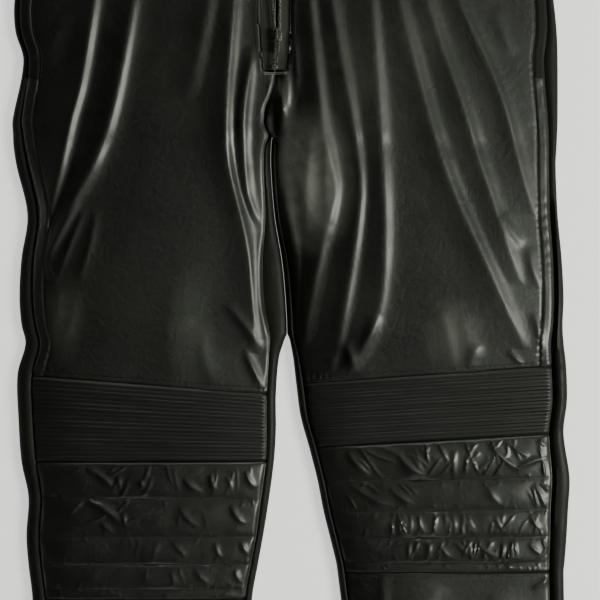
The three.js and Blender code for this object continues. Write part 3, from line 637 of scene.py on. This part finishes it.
def upright_middle(edge, inward, top, count):
    radius = 12
    upright = np.linspace(top, radius, count // 2, endpoint=False)
    angles = np.radians(np.linspace(0, -90, count - count // 2))
    z = np.concatenate([upright, radius + radius * np.sin(angles)])
    depth = np.concatenate([0 * upright, radius * (1 - np.cos(angles))])
    return np.stack([edge + inward * (MIDDLE_CLEARANCE + depth), z], axis=1)


def inner_side(leg, row, v, count):
    """The back's inner side: flat at the hips, upright in the crotch and rolled along the inseam."""
    inward = -leg.side
    flat = flat_middle(row["inner"], inward, count)
    upright = upright_middle(row["inner"], inward, row["inseam"], count)
    inset = max(float(row["inner_inset"]), 3)
    rolled = rolled_side(row["inner"], inward, inset, row["inseam"], count)
    if v >= CROTCH_FLAT:
        return flat
    if v >= CROTCH_TURN:
        t = (v - CROTCH_TURN) / (CROTCH_FLAT - CROTCH_TURN)
        return upright * (1 - t) + flat * t
    if v >= CROTCH_Y:
        t = (v - CROTCH_Y) / (CROTCH_TURN - CROTCH_Y)
        return rolled * (1 - t) + upright * t
    return rolled


def back_section(leg, v):
    """One section of a back from its outer seam, under the leg, to its inner seam, as x, y and z."""
    side_count, under_count, groove_width = 14, 12, 3.4
    row = {key: float(value) for key, value in leg_edges(leg, v).items()}
    press = float(press_together(leg, np.array(float(v))))
    row["inner"] += press
    row["inner_inset"] += abs(press)
    outer = rolled_side(row["outer"], leg.side, row["outer_inset"], SIDE_SEAM_HEIGHT, side_count)
    inner = inner_side(leg, row, v, side_count)[::-1]
    between = np.linspace(outer[-1], inner[0], under_count)[1:-1]
    section = np.concatenate([outer, between, inner])
    share = (section[:, 0] - section[0, 0]) / (section[-1, 0] - section[0, 0])
    y = v + row["slant"] * (0.5 - share)
    z = section[:, 1].copy()
    ribs = RIB_HEIGHT * 0.7 * float(rib_wave(leg, np.array([v]))[0])
    z[1:5] += ribs * np.array([0.5, 1, 1, 0.5])
    groove_depth = 1.2 if leg.side > 0 else 1.2 + 3.8 * float(smoothstep(195, 170, v))
    from_seam = np.abs(section[:side_count, 0] - section[0, 0])
    groove = groove_depth * np.exp(-((from_seam / groove_width) ** 4))
    z[:side_count] -= groove * (section[:side_count, 1] > SIDE_SEAM_HEIGHT / 2)
    return np.stack([section[:, 0], y, z], axis=1)


def wall_of_rows(name, sections, mirrored):
    """A wall through rows of points, the top row first. mirrored turns its faces to the other side."""
    columns, rows = len(sections[0]) - 1, len(sections) - 1
    piece, across, up = grid(name, columns, rows)
    j = np.rint((1 - across if mirrored else across) * columns).astype(int)
    i = np.rint((1 - up) * rows).astype(int)
    points = np.array(sections)[i, j]
    place_points(piece, points[:, 0], points[:, 1], points[:, 2])
    give_thickness(piece, LEATHER)
    return piece


def hip_strip(name, leg, x_at, top, foot, counts, lift, thickness):
    """A strip on the hips' front, between two places across given at each height."""
    piece, across, up = grid(name, *counts)
    v = foot + (top - foot) * crowd(up, 0.3)
    start, end = x_at(v)
    low, high = np.minimum(start, end), np.maximum(start, end)
    x = low + (high - low) * crowd(across, 0.3)
    on_right = leg.side > 0
    y, z = front_form(leg, x, v)
    other = LEFT if on_right else RIGHT
    beyond = x > MIDDLE_X if on_right else x < MIDDLE_X
    z = np.where(beyond, front_form(other, x, v)[1], z)
    edge = np.minimum(np.minimum(x - low, high - x), np.minimum(top - v, v - foot))
    z = z + lift(x, v) - 0.5 * bell(edge, 1.0)
    place_points(piece, x, y, z)
    give_thickness(piece, thickness)
    return piece


def hips_height(x, v):
    """Height of the fronts' form: the right front's up to the middle, the left one's beyond it."""
    return np.where(x < MIDDLE_X, front_form(RIGHT, x, v)[1], front_form(LEFT, x, v)[1])


# Shader arithmetic: a Wire is a socket that + - * work on
class Wire:
    def __init__(self, finish, socket):
        self.finish = finish
        self.socket = socket

    def _math(self, operation, first, second):
        return self.finish.node("ShaderNodeMath", {"operation": operation}, {0: first, 1: second})

    def __add__(self, other):
        return self._math("ADD", self, other)

    __radd__ = __add__

    def __sub__(self, other):
        return self._math("SUBTRACT", self, other)

    def __rsub__(self, other):
        return self._math("SUBTRACT", other, self)

    def __mul__(self, other):
        return self._math("MULTIPLY", self, other)

    __rmul__ = __mul__


class Finish:
    """A material under construction, with its Principled shader."""

    def __init__(self, name):
        self.material = bpy.data.materials.new(name)
        self.material.use_nodes = True
        self.tree = self.material.node_tree
        self.shader = self.tree.nodes["Principled BSDF"]
        self.place = self.tree.nodes.new("ShaderNodeTexCoord").outputs["Object"]

    def node(self, kind, settings, inputs, output=0):
        made = self.tree.nodes.new(kind)
        for key, value in settings.items():
            setattr(made, key, value)
        for key, value in inputs.items():
            self.connect(value, made.inputs[key])
        return Wire(self, made.outputs[output])

    def connect(self, value, socket):
        if isinstance(value, Wire):
            self.tree.links.new(value.socket, socket)
        elif hasattr(value, "links"):
            self.tree.links.new(value, socket)
        else:
            socket.default_value = value

    def shade(self, **inputs):
        for key, value in inputs.items():
            self.connect(value, self.shader.inputs[key.replace("_", " ")])

    def vector(self, operation, first, second=None, output=0):
        inputs = {0: first} if second is None else {0: first, 1: second}
        return self.node("ShaderNodeVectorMath", {"operation": operation}, inputs, output)

    def noise(self, scale, detail=3, distortion=0.0):
        inputs = {"Vector": self.place, "Scale": scale, "Detail": detail, "Distortion": distortion}
        return self.node("ShaderNodeTexNoise", {}, inputs)

    def cells(self, scale):
        inputs = {"Vector": self.place, "Scale": scale, "Randomness": 1.0}
        return self.node("ShaderNodeTexVoronoi", {"feature": "DISTANCE_TO_EDGE"}, inputs)

    def blend(self, factor, low, high):
        # The colour kind's factor is input 0, its colours are inputs 6 and 7, and its result is output 2
        return self.node("ShaderNodeMix", {"data_type": "RGBA"}, {0: factor, 6: low, 7: high}, output=2)

    def range(self, value, low, high, to_low=0.0, to_high=1.0):
        inputs = {"Value": value, "From Min": low, "From Max": high, "To Min": to_low, "To Max": to_high}
        return self.node("ShaderNodeMapRange", {"clamp": True}, inputs)

    def bump(self, height, strength, distance):
        inputs = {"Height": height, "Strength": strength, "Distance": distance}
        return self.node("ShaderNodeBump", {}, inputs)


# Patches of painted sheen, where the leather is painted greyer and made duller: the middle, the reach each
# way, how much
SheenPatch = namedtuple("SheenPatch", "x y wide tall share")
SHEEN_PATCHES = table(SheenPatch, [
    (22, 205, 46, 80, 1.0),
    (75, 300, 60, 90, 0.12),
    (140, 250, 130, 240, 0.04),
    (-4, 285, 12, 40, 0.4),
    (164, 50, 36, 42, 0.45),
    (-14, 297, 8, 13, 0.5),
    (-100, 55, 26, 70, 0.26),
    (-226, 65, 22, 48, 0.24),
    (128, 350, 34, 60, 0.12),
    (150, -206, 76, 26, 0.09),
    (142, -140, 56, 12, 0.2),
    (170, -74, 60, 16, 0.16),
])
# The colour of the painted sheen
SHEEN_COLOUR = (0.155, 0.158, 0.14)


def sheen_patch_share(finish):
    """How much painted sheen the leather gets at each place, fading out of each patch's middle."""
    total = 0
    for patch in SHEEN_PATCHES:
        centre = (patch.x * MM, patch.y * MM, 0)
        shrink = (1 / (patch.wide * MM), 1 / (patch.tall * MM), 0)
        away = finish.vector("SUBTRACT", finish.place, centre)
        length = finish.vector("LENGTH", finish.vector("MULTIPLY", away, shrink), output=1)
        total = finish.range(length, 0.1, 1.0, patch.share, 0.0) + total
    return finish.range(total, 0, 1)


def leather(name, dark, light, rough, coat, grain=0.5, shine=0.42):
    """Smooth cowhide: fine pebble grain, soft wrinkles, uneven polish and patches of painted sheen."""
    finish = Finish(name)
    sheen_here = sheen_patch_share(finish)
    patches = finish.noise(9, 4, 0.6)
    coarse_noise = finish.noise(38, 5, 1.2)
    pebbles = finish.range(finish.cells(900), 0.0, 0.12)
    pores = finish.noise(2600, 2)
    wrinkles = finish.noise(120, 4, 1.6)
    crumple = finish.noise(42, 5, 2.2)
    tone = finish.range(patches * 0.7 + coarse_noise * 0.3, 0.35, 0.65)
    colour = finish.blend(tone, (*dark, 1), (*light, 1))
    # Painted sheen: inside the patches the leather is painted greyer and made rougher
    painted_sheen = sheen_here * finish.range(coarse_noise, 0.25, 0.75, 0.6, 1.2)
    finish.shade(Base_Color=finish.blend(painted_sheen, colour, (*SHEEN_COLOUR, 1)))
    gloss = finish.range(patches * 0.5 + coarse_noise * 0.5, 0.3, 0.7, rough - 0.06, rough + 0.1)
    finish.shade(Roughness=gloss + (1 - pebbles) * 0.05 + painted_sheen * 0.08)
    polish = finish.noise(11, 4, 0.8)
    finish.shade(Coat_Weight=finish.range(polish, 0.3, 0.7, coat * 0.5, coat * 1.5))
    relief = pebbles * 0.3 + pores * 0.12 + wrinkles * 1.1 + crumple * 2.2
    finish.shade(Normal=finish.bump(relief, grain, 0.0006))
    finish.shade(Specular_IOR_Level=shine, Coat_Roughness=0.3)
    return finish.material


def woven_tape(name, dark, light):
    finish = Finish(name)
    settings = {"wave_type": "BANDS", "bands_direction": "DIAGONAL"}
    inputs = {"Vector": finish.place, "Scale": 420, "Distortion": 0.4, "Detail": 1}
    twill = finish.node("ShaderNodeTexWave", settings, inputs)
    fuzz = finish.noise(1500, 2)
    colour = finish.blend(twill * 0.6 + fuzz * 0.4, (*dark, 1), (*light, 1))
    finish.shade(Base_Color=colour, Roughness=finish.range(fuzz, 0, 1, 0.75, 0.95))
    finish.shade(Normal=finish.bump(twill, 0.6, 0.0003))
    return finish.material


def thread(name, dark, light):
    finish = Finish(name)
    twist = finish.noise(3200, 2, 0.5)
    finish.shade(Base_Color=finish.blend(twist, (*dark, 1), (*light, 1)))
    finish.shade(Roughness=finish.range(twist, 0, 1, 0.5, 0.7))
    return finish.material


def dull_nickel(name):
    finish = Finish(name)
    stain = finish.noise(500, 4, 0.8)
    scratch = finish.noise(2400, 3, 0.2)
    colour = finish.blend(finish.range(stain, 0.35, 0.65), (0.1, 0.1, 0.08, 1), (0.48, 0.48, 0.43, 1))
    finish.shade(Base_Color=colour, Roughness=finish.range(stain * 0.6 + scratch * 0.4, 0.3, 0.7, 0.22, 0.45))
    finish.shade(Normal=finish.bump(scratch, 0.3, 0.0001))
    finish.shade(Metallic=1.0)
    return finish.material


SMOOTH = leather("smooth_black_leather", (0.0022, 0.0024, 0.0016), (0.0054, 0.0062, 0.0037), 0.42, 0.46)
SIDE_DARK, SIDE_LIGHT = (0.0028, 0.0025, 0.0018), (0.0058, 0.0052, 0.004)
SIDE = leather("brown_black_side_leather", SIDE_DARK, SIDE_LIGHT, 0.6, 0.06, shine=0.24)
RIBBED = leather("ribbed_leather", (0.002, 0.0022, 0.0017), (0.005, 0.0055, 0.0043), 0.52, 0.2, 0.25)
# The two zip tapes are one cloth: the right one is painted darker as painted shade in its slot, the left one
# lighter as a painted highlight
TAPES = {
    "right": woven_tape("shaded_tape_weave", (0.006, 0.0064, 0.0052), (0.036, 0.037, 0.031)),
    "left": woven_tape("lit_tape_weave", (0.06, 0.061, 0.055), (0.19, 0.192, 0.175)),
}
THREAD = thread("sewing_thread", (0.004, 0.004, 0.004), (0.02, 0.02, 0.018))
BAR_THREAD = thread("bar_tack_thread", (0.09, 0.1, 0.09), (0.32, 0.36, 0.31))
NICKEL = dull_nickel("dull_nickel")


def joined_copies(name, base, places):
    """One mesh of many copies of base, each turned and moved by its matrix."""
    source = base.data
    points = np.array([v.co for v in source.vertices])
    faces = [tuple(p.vertices) for p in source.polygons]
    all_points, all_faces = [], []
    for k, place in enumerate(places):
        turn = np.array(place.to_3x3())
        all_points.append(points @ turn.T + np.array(place.translation))
        all_faces += [tuple(index + k * len(points) for index in face) for face in faces]
    mesh = bpy.data.meshes.new(name)
    mesh.from_pydata(np.concatenate(all_points).tolist(), [], all_faces)
    piece = bpy.data.objects.new(name, mesh)
    bpy.context.scene.collection.objects.link(piece)
    bpy.data.objects.remove(base)
    shade(piece, 60)
    return piece


def one_stitch():
    """A short thread loop lying along X, sunk at both ends."""
    deselect()
    bpy.ops.mesh.primitive_uv_sphere_add(segments=6, ring_count=4, radius=1)
    stitch = bpy.context.object
    bpy.ops.object.mode_set(mode="EDIT")
    bpy.ops.mesh.select_all(action="SELECT")
    bpy.ops.transform.resize(value=[size * MM for size in STITCH])
    bpy.ops.object.mode_set(mode="OBJECT")
    return stitch


def aligned(point, ahead):
    """A matrix at point whose X axis runs towards ahead."""
    x = (Vector(ahead) - Vector(point)).normalized()
    y = Vector((0, 0, 1)).cross(x).normalized()
    z = x.cross(y)
    turn = Matrix((x, y, z)).transposed().to_4x4()
    turn.translation = Vector(point)
    return turn


def stitch_places(path, pitch=3.6):
    """Matrices for stitches every pitch millimetres along a path of points in millimetres."""
    path = np.array(path)
    steps = np.linalg.norm(np.diff(path, axis=0), axis=1)
    reach = np.concatenate([[0], np.cumsum(steps)])
    at = np.arange(pitch / 2, reach[-1], pitch)
    spots = np.stack([np.interp(at, reach, path[:, k]) for k in range(3)], axis=1)
    ahead = np.stack([np.interp(at + 1, reach, path[:, k]) for k in range(3)], axis=1)
    far = np.linalg.norm(ahead - spots, axis=1) > 0.1
    return [aligned(a * MM, b * MM) for a, b in zip(spots[far], ahead[far], strict=True)]


def on_front(leg, x, v, relief):
    """A path on the finished outside of a front panel."""
    x, v = np.broadcast_arrays(np.asarray(x, float), np.asarray(v, float))
    row = leg_edges(leg, v)
    s = (x - row["start"]) / (row["end"] - row["start"])
    y, z = front_form(leg, x, v)
    to_side = np.minimum(np.abs(x - row["start"]), np.abs(row["end"] - x))
    z = z + relief(x, y, v, s) * smoothstep(0, RELIEF_MARGIN, to_side)
    return np.stack([x, y, z], axis=1)


def across_row(leg, v, relief, inset=3, count=140):
    row = leg_edges(leg, np.array([float(v)]))
    xs = np.linspace(row["start"][0] + leg.side * inset, row["end"][0] - leg.side * inset, count)
    return on_front(leg, xs, np.full(count, float(v)), relief)


def along_seam(leg, top, foot, inset, relief, count=160):
    v = np.linspace(top, foot, count)
    row = leg_edges(leg, v)
    return on_front(leg, row["start"] + leg.side * inset, v, relief)


def sew(name, places, material=THREAD):
    finish_piece(joined_copies(name, one_stitch(), places), material)


def leg_stitches(leg):
    thigh, lower = thigh_relief(leg), lower_relief(leg)
    paths = [
        across_row(leg, leg.knee_top + ROW_INSET, thigh),
        across_row(leg, WAISTBAND_FOOT - ROW_INSET, thigh),
        across_row(leg, HEM_Y + HEM_DEPTH, lower),
        across_row(leg, leg.channels[-1] - ROW_INSET, lower),
        along_seam(leg, SIDE_ROWS_TOP, leg.knee_top + ROW_INSET, SIDE_BAND, thigh),
        along_seam(leg, SIDE_ROWS_TOP, leg.knee_top + ROW_INSET, 2.5, thigh),
    ]
    sew(f"stitches_{leg.name}", [place for path in paths for place in stitch_places(path)])


def make_leg(leg):
    top, back_rows = WAISTBAND_FOOT, 330
    heights = np.linspace(top - SEAM_GAP / 2, HEM_Y, back_rows + 1)
    # The right back runs the other way across, so that both face outwards
    back = wall_of_rows(f"back_panel_{leg.name}", [back_section(leg, v) for v in heights], leg.side > 0)
    finish_piece(back, SIDE, [f"back_{leg.name}"])
    shin_top, shin_foot = leg.channels[0], leg.channels[-1]
    ribs = (60, RIB_COUNT * 8)
    # Piece, node, top, foot, counts across and up, relief, whether the rows are even, material and slot
    fronts = [
        ("thigh", "front", top, leg.knee_top, (120, 230), thigh_relief, False, SMOOTH, "leather"),
        ("knee_band", "knee", leg.knee_top, leg.knee_foot, ribs, knee_relief, True, RIBBED, "ribbed_leather"),
        ("shin_pad", "shin", shin_top, shin_foot, (190, 150), shin_relief, True, SMOOTH, "leather"),
        ("lower", "lower_front", shin_foot, HEM_Y, (70, 130), lower_relief, False, SMOOTH, "leather"),
    ]
    for name, node, high, low, counts, relief, even_rows, material, slot in fronts:
        piece = front_panel(f"{name}_{leg.name}", leg, high, low, counts, relief(leg), even_rows)
        finish_piece(piece, material, [f"{node}_{leg.name}"])
        if name == "shin_pad":
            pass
        else:
            declare_cut(leg, high, low)
    heights = np.linspace(HEM_Y, top, 40)
    row = leg_edges(leg, heights)
    # Round the two rolled sides together the leather runs about this much further than across
    both_sides_round = 26
    wraps = row["outer_inset"] + row["inner_inset"] + both_sides_round
    widths = np.abs(row["inner"] - row["outer"]) + wraps
    length = (top - HEM_Y) * MM
    area = float(widths.mean()) * MM * length
    leg_stitches(leg)


def make_waistband():
    underlap, overlap, step, row_inset = 12, 24, 2.8, 3.5
    foot = WAISTBAND_FOOT + SEAM_GAP / 2

    def right_places(v):
        return leg_edges(RIGHT, v)["start"] + SEAM_GAP / 2, np.full_like(v, MIDDLE_X + underlap)

    def left_places(v):
        return leg_edges(LEFT, v)["start"] - SEAM_GAP / 2, np.full_like(v, MIDDLE_X - overlap)

    def left_lift(x, v):
        return step * (1 - smoothstep(MIDDLE_X + underlap + 1.5, MIDDLE_X + underlap + 15, x))

    places = {"right": right_places, "left": left_places}
    lifts = {"right": lambda x, v: 0 * x, "left": left_lift}
    for leg in LEGS:
        name = leg.name
        title, counts = f"waistband_front_{name}", (110, 24)
        strip = hip_strip(title, leg, places[name], WAIST_Y, foot, counts, lifts[name], LEATHER)
        finish_piece(strip, SMOOTH, [f"waistband_{name}"])
        paths = []
        for v in (WAIST_Y - row_inset, foot + row_inset):
            start, end = places[name](np.array([v]))
            inset = ROW_INSET * np.sign(end[0] - start[0])
            xs = np.linspace(start[0] + inset, end[0] - inset, 90)
            vs = np.full_like(xs, v)
            z = hips_height(xs, vs) + lifts[name](xs, vs)
            paths.append(np.stack([xs, vs, z], axis=1))
        sew(f"waistband_stitches_{name}", [place for path in paths for place in stitch_places(path)])


def make_waistband_rear():
    heights = np.linspace(WAIST_Y, WAISTBAND_FOOT + SEAM_GAP / 2, 10)
    rows = [np.concatenate([back_section(RIGHT, v), back_section(LEFT, v)[::-1]]) for v in heights]
    piece = wall_of_rows("waistband_rear", rows, True)
    finish_piece(piece, SIDE, ["waistband_back"])


def make_pocket(leg):
    top, foot = 478, 307

    def places(v):
        start = leg_edges(leg, v)["start"]
        return start + leg.side * 1, start + leg.side * 10

    def lift(x, v):
        return 1.5 + 0 * x

    thickness, stitch_inset = 1.2, 13.5
    facing = hip_strip(f"pocket_edge_{leg.name}", leg, places, top, foot, (12, 110), lift, thickness)
    finish_piece(facing, SIDE, [f"pocket_facing_{leg.name}"])
    v = np.linspace(top - 3, foot + 1, 120)
    relief = thigh_relief(leg)
    down = on_front(leg, leg_edges(leg, v)["start"] + leg.side * stitch_inset, v, relief)
    start = leg_edges(leg, np.array([foot + 1.0]))["start"][0]
    xs = np.linspace(start + leg.side * stitch_inset, start + leg.side * 5, 8)
    foot_bar = on_front(leg, xs, np.full_like(xs, foot - 2.0), relief)
    sew(f"pocket_stitches_{leg.name}", stitch_places(down, 3.2) + stitch_places(foot_bar, 1.2))


def make_fly_side(leg):
    """One tape of the fly zip with its row of teeth, and the stitches beside it."""
    teeth_column = "right_teeth" if leg.side > 0 else "left_teeth"
    lip_column = "right_lip" if leg.side > 0 else "left_lip"
    tape_top, tape_foot, under_lip = 488, 315, 7

    def places(v):
        teeth = straight_column(FLY, teeth_column, v)
        return straight_column(FLY, lip_column, v) - leg.side * under_lip, teeth - leg.side * 0.5

    tape_lift, tape_dip, tape_thickness = -2.4, 2.6, 0.8

    def lift(x, v):
        from_teeth = np.abs(x - straight_column(FLY, teeth_column, v))
        dip = tape_dip if leg.side > 0 else -1.3 * smoothstep(338, 356, v)
        return tape_lift - dip * smoothstep(3.5, 9, from_teeth)

    counts = (20, 90)
    tape = hip_strip(f"zip_tape_{leg.name}", leg, places, tape_top, tape_foot, counts, lift, tape_thickness)
    finish_piece(tape, TAPES[leg.name], [f"fly_tape_{leg.name}"])
    # The left row's teeth lie between those of the right row
    pitch, tooth_sink = 2.2, 1.9
    shift = 0 if leg.side > 0 else pitch / 2
    heights = np.arange(tape_foot + 1 + shift, tape_top - 3, pitch)
    xs = straight_column(FLY, teeth_column, heights) - leg.side * 1.0
    zs = front_form(leg, xs, heights)[1] - tooth_sink
    deselect()
    bpy.ops.mesh.primitive_cube_add(size=1)
    tooth = bpy.context.object
    bpy.ops.object.mode_set(mode="EDIT")
    bpy.ops.mesh.select_all(action="SELECT")
    bpy.ops.transform.resize(value=[size * MM for size in TOOTH])
    bpy.ops.mesh.bevel(offset=TOOTH_ROUNDING * MM, segments=2)
    bpy.ops.object.mode_set(mode="OBJECT")
    spots = zip(xs, heights, zs, strict=True)
    tooth_places = [Matrix.Translation(Vector(spot) * MM) for spot in spots]
    finish_piece(joined_copies(f"zip_teeth_{leg.name}", tooth, tooth_places), NICKEL)
    from_lip = 5.5
    v = np.linspace(486, FLY_FOOT + 2, 110)
    lip = straight_column(FLY, lip_column, v)
    path = on_front(leg, lip - leg.side * from_lip, v, thigh_relief(leg))
    sew(f"fly_stitches_{leg.name}", stitch_places(path))


def make_fly_bar():
    """Bar tack across the fly's foot: two rows of close stitches."""
    pitch, lift = 1.5, 1.2
    places = []
    for v in (310.6, 312.0):
        xs = np.linspace(-27, -4.5, 20)
        vs = 0 * xs + v
        places += stitch_places(np.stack([xs, vs, hips_height(xs, vs) + lift], axis=1), pitch)
    sew("fly_bar_tack", places, BAR_THREAD)


def rounded_copy(name, node, bevel, material, body="garment"):
    """A CAD piece with its edges rounded."""
    deselect()
    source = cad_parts[node]
    piece = bpy.data.objects.new(name, source.data.copy())
    bpy.context.scene.collection.objects.link(piece)
    piece.select_set(True)
    bpy.context.view_layer.objects.active = piece
    bpy.ops.object.mode_set(mode="EDIT")
    bpy.ops.mesh.select_all(action="SELECT")
    bpy.ops.mesh.remove_doubles(threshold=0.02 * MM)
    bpy.ops.mesh.dissolve_limited(angle_limit=math.radians(3))
    bpy.ops.object.mode_set(mode="OBJECT")
    edge = piece.modifiers.new("edge", "BEVEL")
    edge.width = bevel * MM
    edge.segments = 3
    edge.limit_method = "ANGLE"
    edge.angle_limit = math.radians(35)
    bpy.ops.object.modifier_apply(modifier=edge.name)
    shade(piece, 35)
    finish_piece(piece, material, [node], body)


def area_light(name, place, aim, size, power, colour):
    data = bpy.data.lights.new(name, "AREA")
    data.shape = "RECTANGLE"
    data.size, data.size_y = size
    data.energy = power
    data.color = colour
    lamp = bpy.data.objects.new(name, data)
    lamp.location = place
    lamp.rotation_euler = (Vector(aim) - Vector(place)).to_track_quat("-Z", "Y").to_euler()
    bpy.context.scene.collection.objects.link(lamp)


def make_stage():
    deselect()
    bpy.ops.mesh.primitive_plane_add(size=12, location=(0, 0, 0))
    floor = bpy.context.object
    floor.name = "floor"
    finish = Finish("pale_floor")
    mottle = finish.noise(3, 3)
    finish.shade(Base_Color=finish.blend(mottle, (0.86, 0.86, 0.86, 1), (0.9, 0.9, 0.9, 1)))
    finish.shade(Roughness=0.95, Specular_IOR_Level=0.1)
    # The floor glows, so that it comes out nearly white under dim lights
    finish.shade(Emission_Color=(1, 1, 1, 1), Emission_Strength=0.9)
    floor.data.materials.append(finish.material)
    world = bpy.data.worlds.new("studio")
    world.use_nodes = True
    background = world.node_tree.nodes["Background"].inputs
    tint = (0.93, 1.0, 0.88)
    background["Color"].default_value = (*tint, 1)
    background["Strength"].default_value = 0.018
    bpy.context.scene.world = world
    aim = (0.02, 0.05, 0)
    area_light("window_right", (2.05, -0.1, 1.8), aim, (0.5, 1.1), 66, (0.95, 1.0, 0.87))
    area_light("far_top", (0.3, 3.2, 1.2), aim, (1.8, 0.5), 32, tint)
    area_light("near_foot", (0.0, -3.2, 1.4), aim, (1.8, 0.5), 12, tint)


def make_camera():
    """Straight down on the hips to the shins, 600 millimetres of the garment in the frame."""
    height, look_height, view, sensor = 3.0, 0.02, 0.6, 36
    centre = (0.009, 0.085)
    data = bpy.data.cameras.new("camera")
    data.sensor_width = sensor
    data.lens = sensor * (height - look_height) / view
    data.clip_end = 50
    camera = bpy.data.objects.new("camera", data)
    camera.location = (*centre, height)
    bpy.context.scene.collection.objects.link(camera)
    bpy.context.scene.camera = camera


make_camera()
make_stage()
for one_leg in LEGS:
    make_leg(one_leg)
    make_pocket(one_leg)
    make_fly_side(one_leg)
make_waistband()
make_waistband_rear()
make_fly_bar()
rounded_copy("slider_body", "fly_slider", 0.35, NICKEL)
rounded_copy("pull_tab_plate", "fly_pull", 0.3, NICKEL, "pull_tab")
rounded_copy("bottom_stop_clip", "fly_stop", 0.3, NICKEL)
rounded_copy("waist_stud_cap", "waist_stud", 0.5, NICKEL)
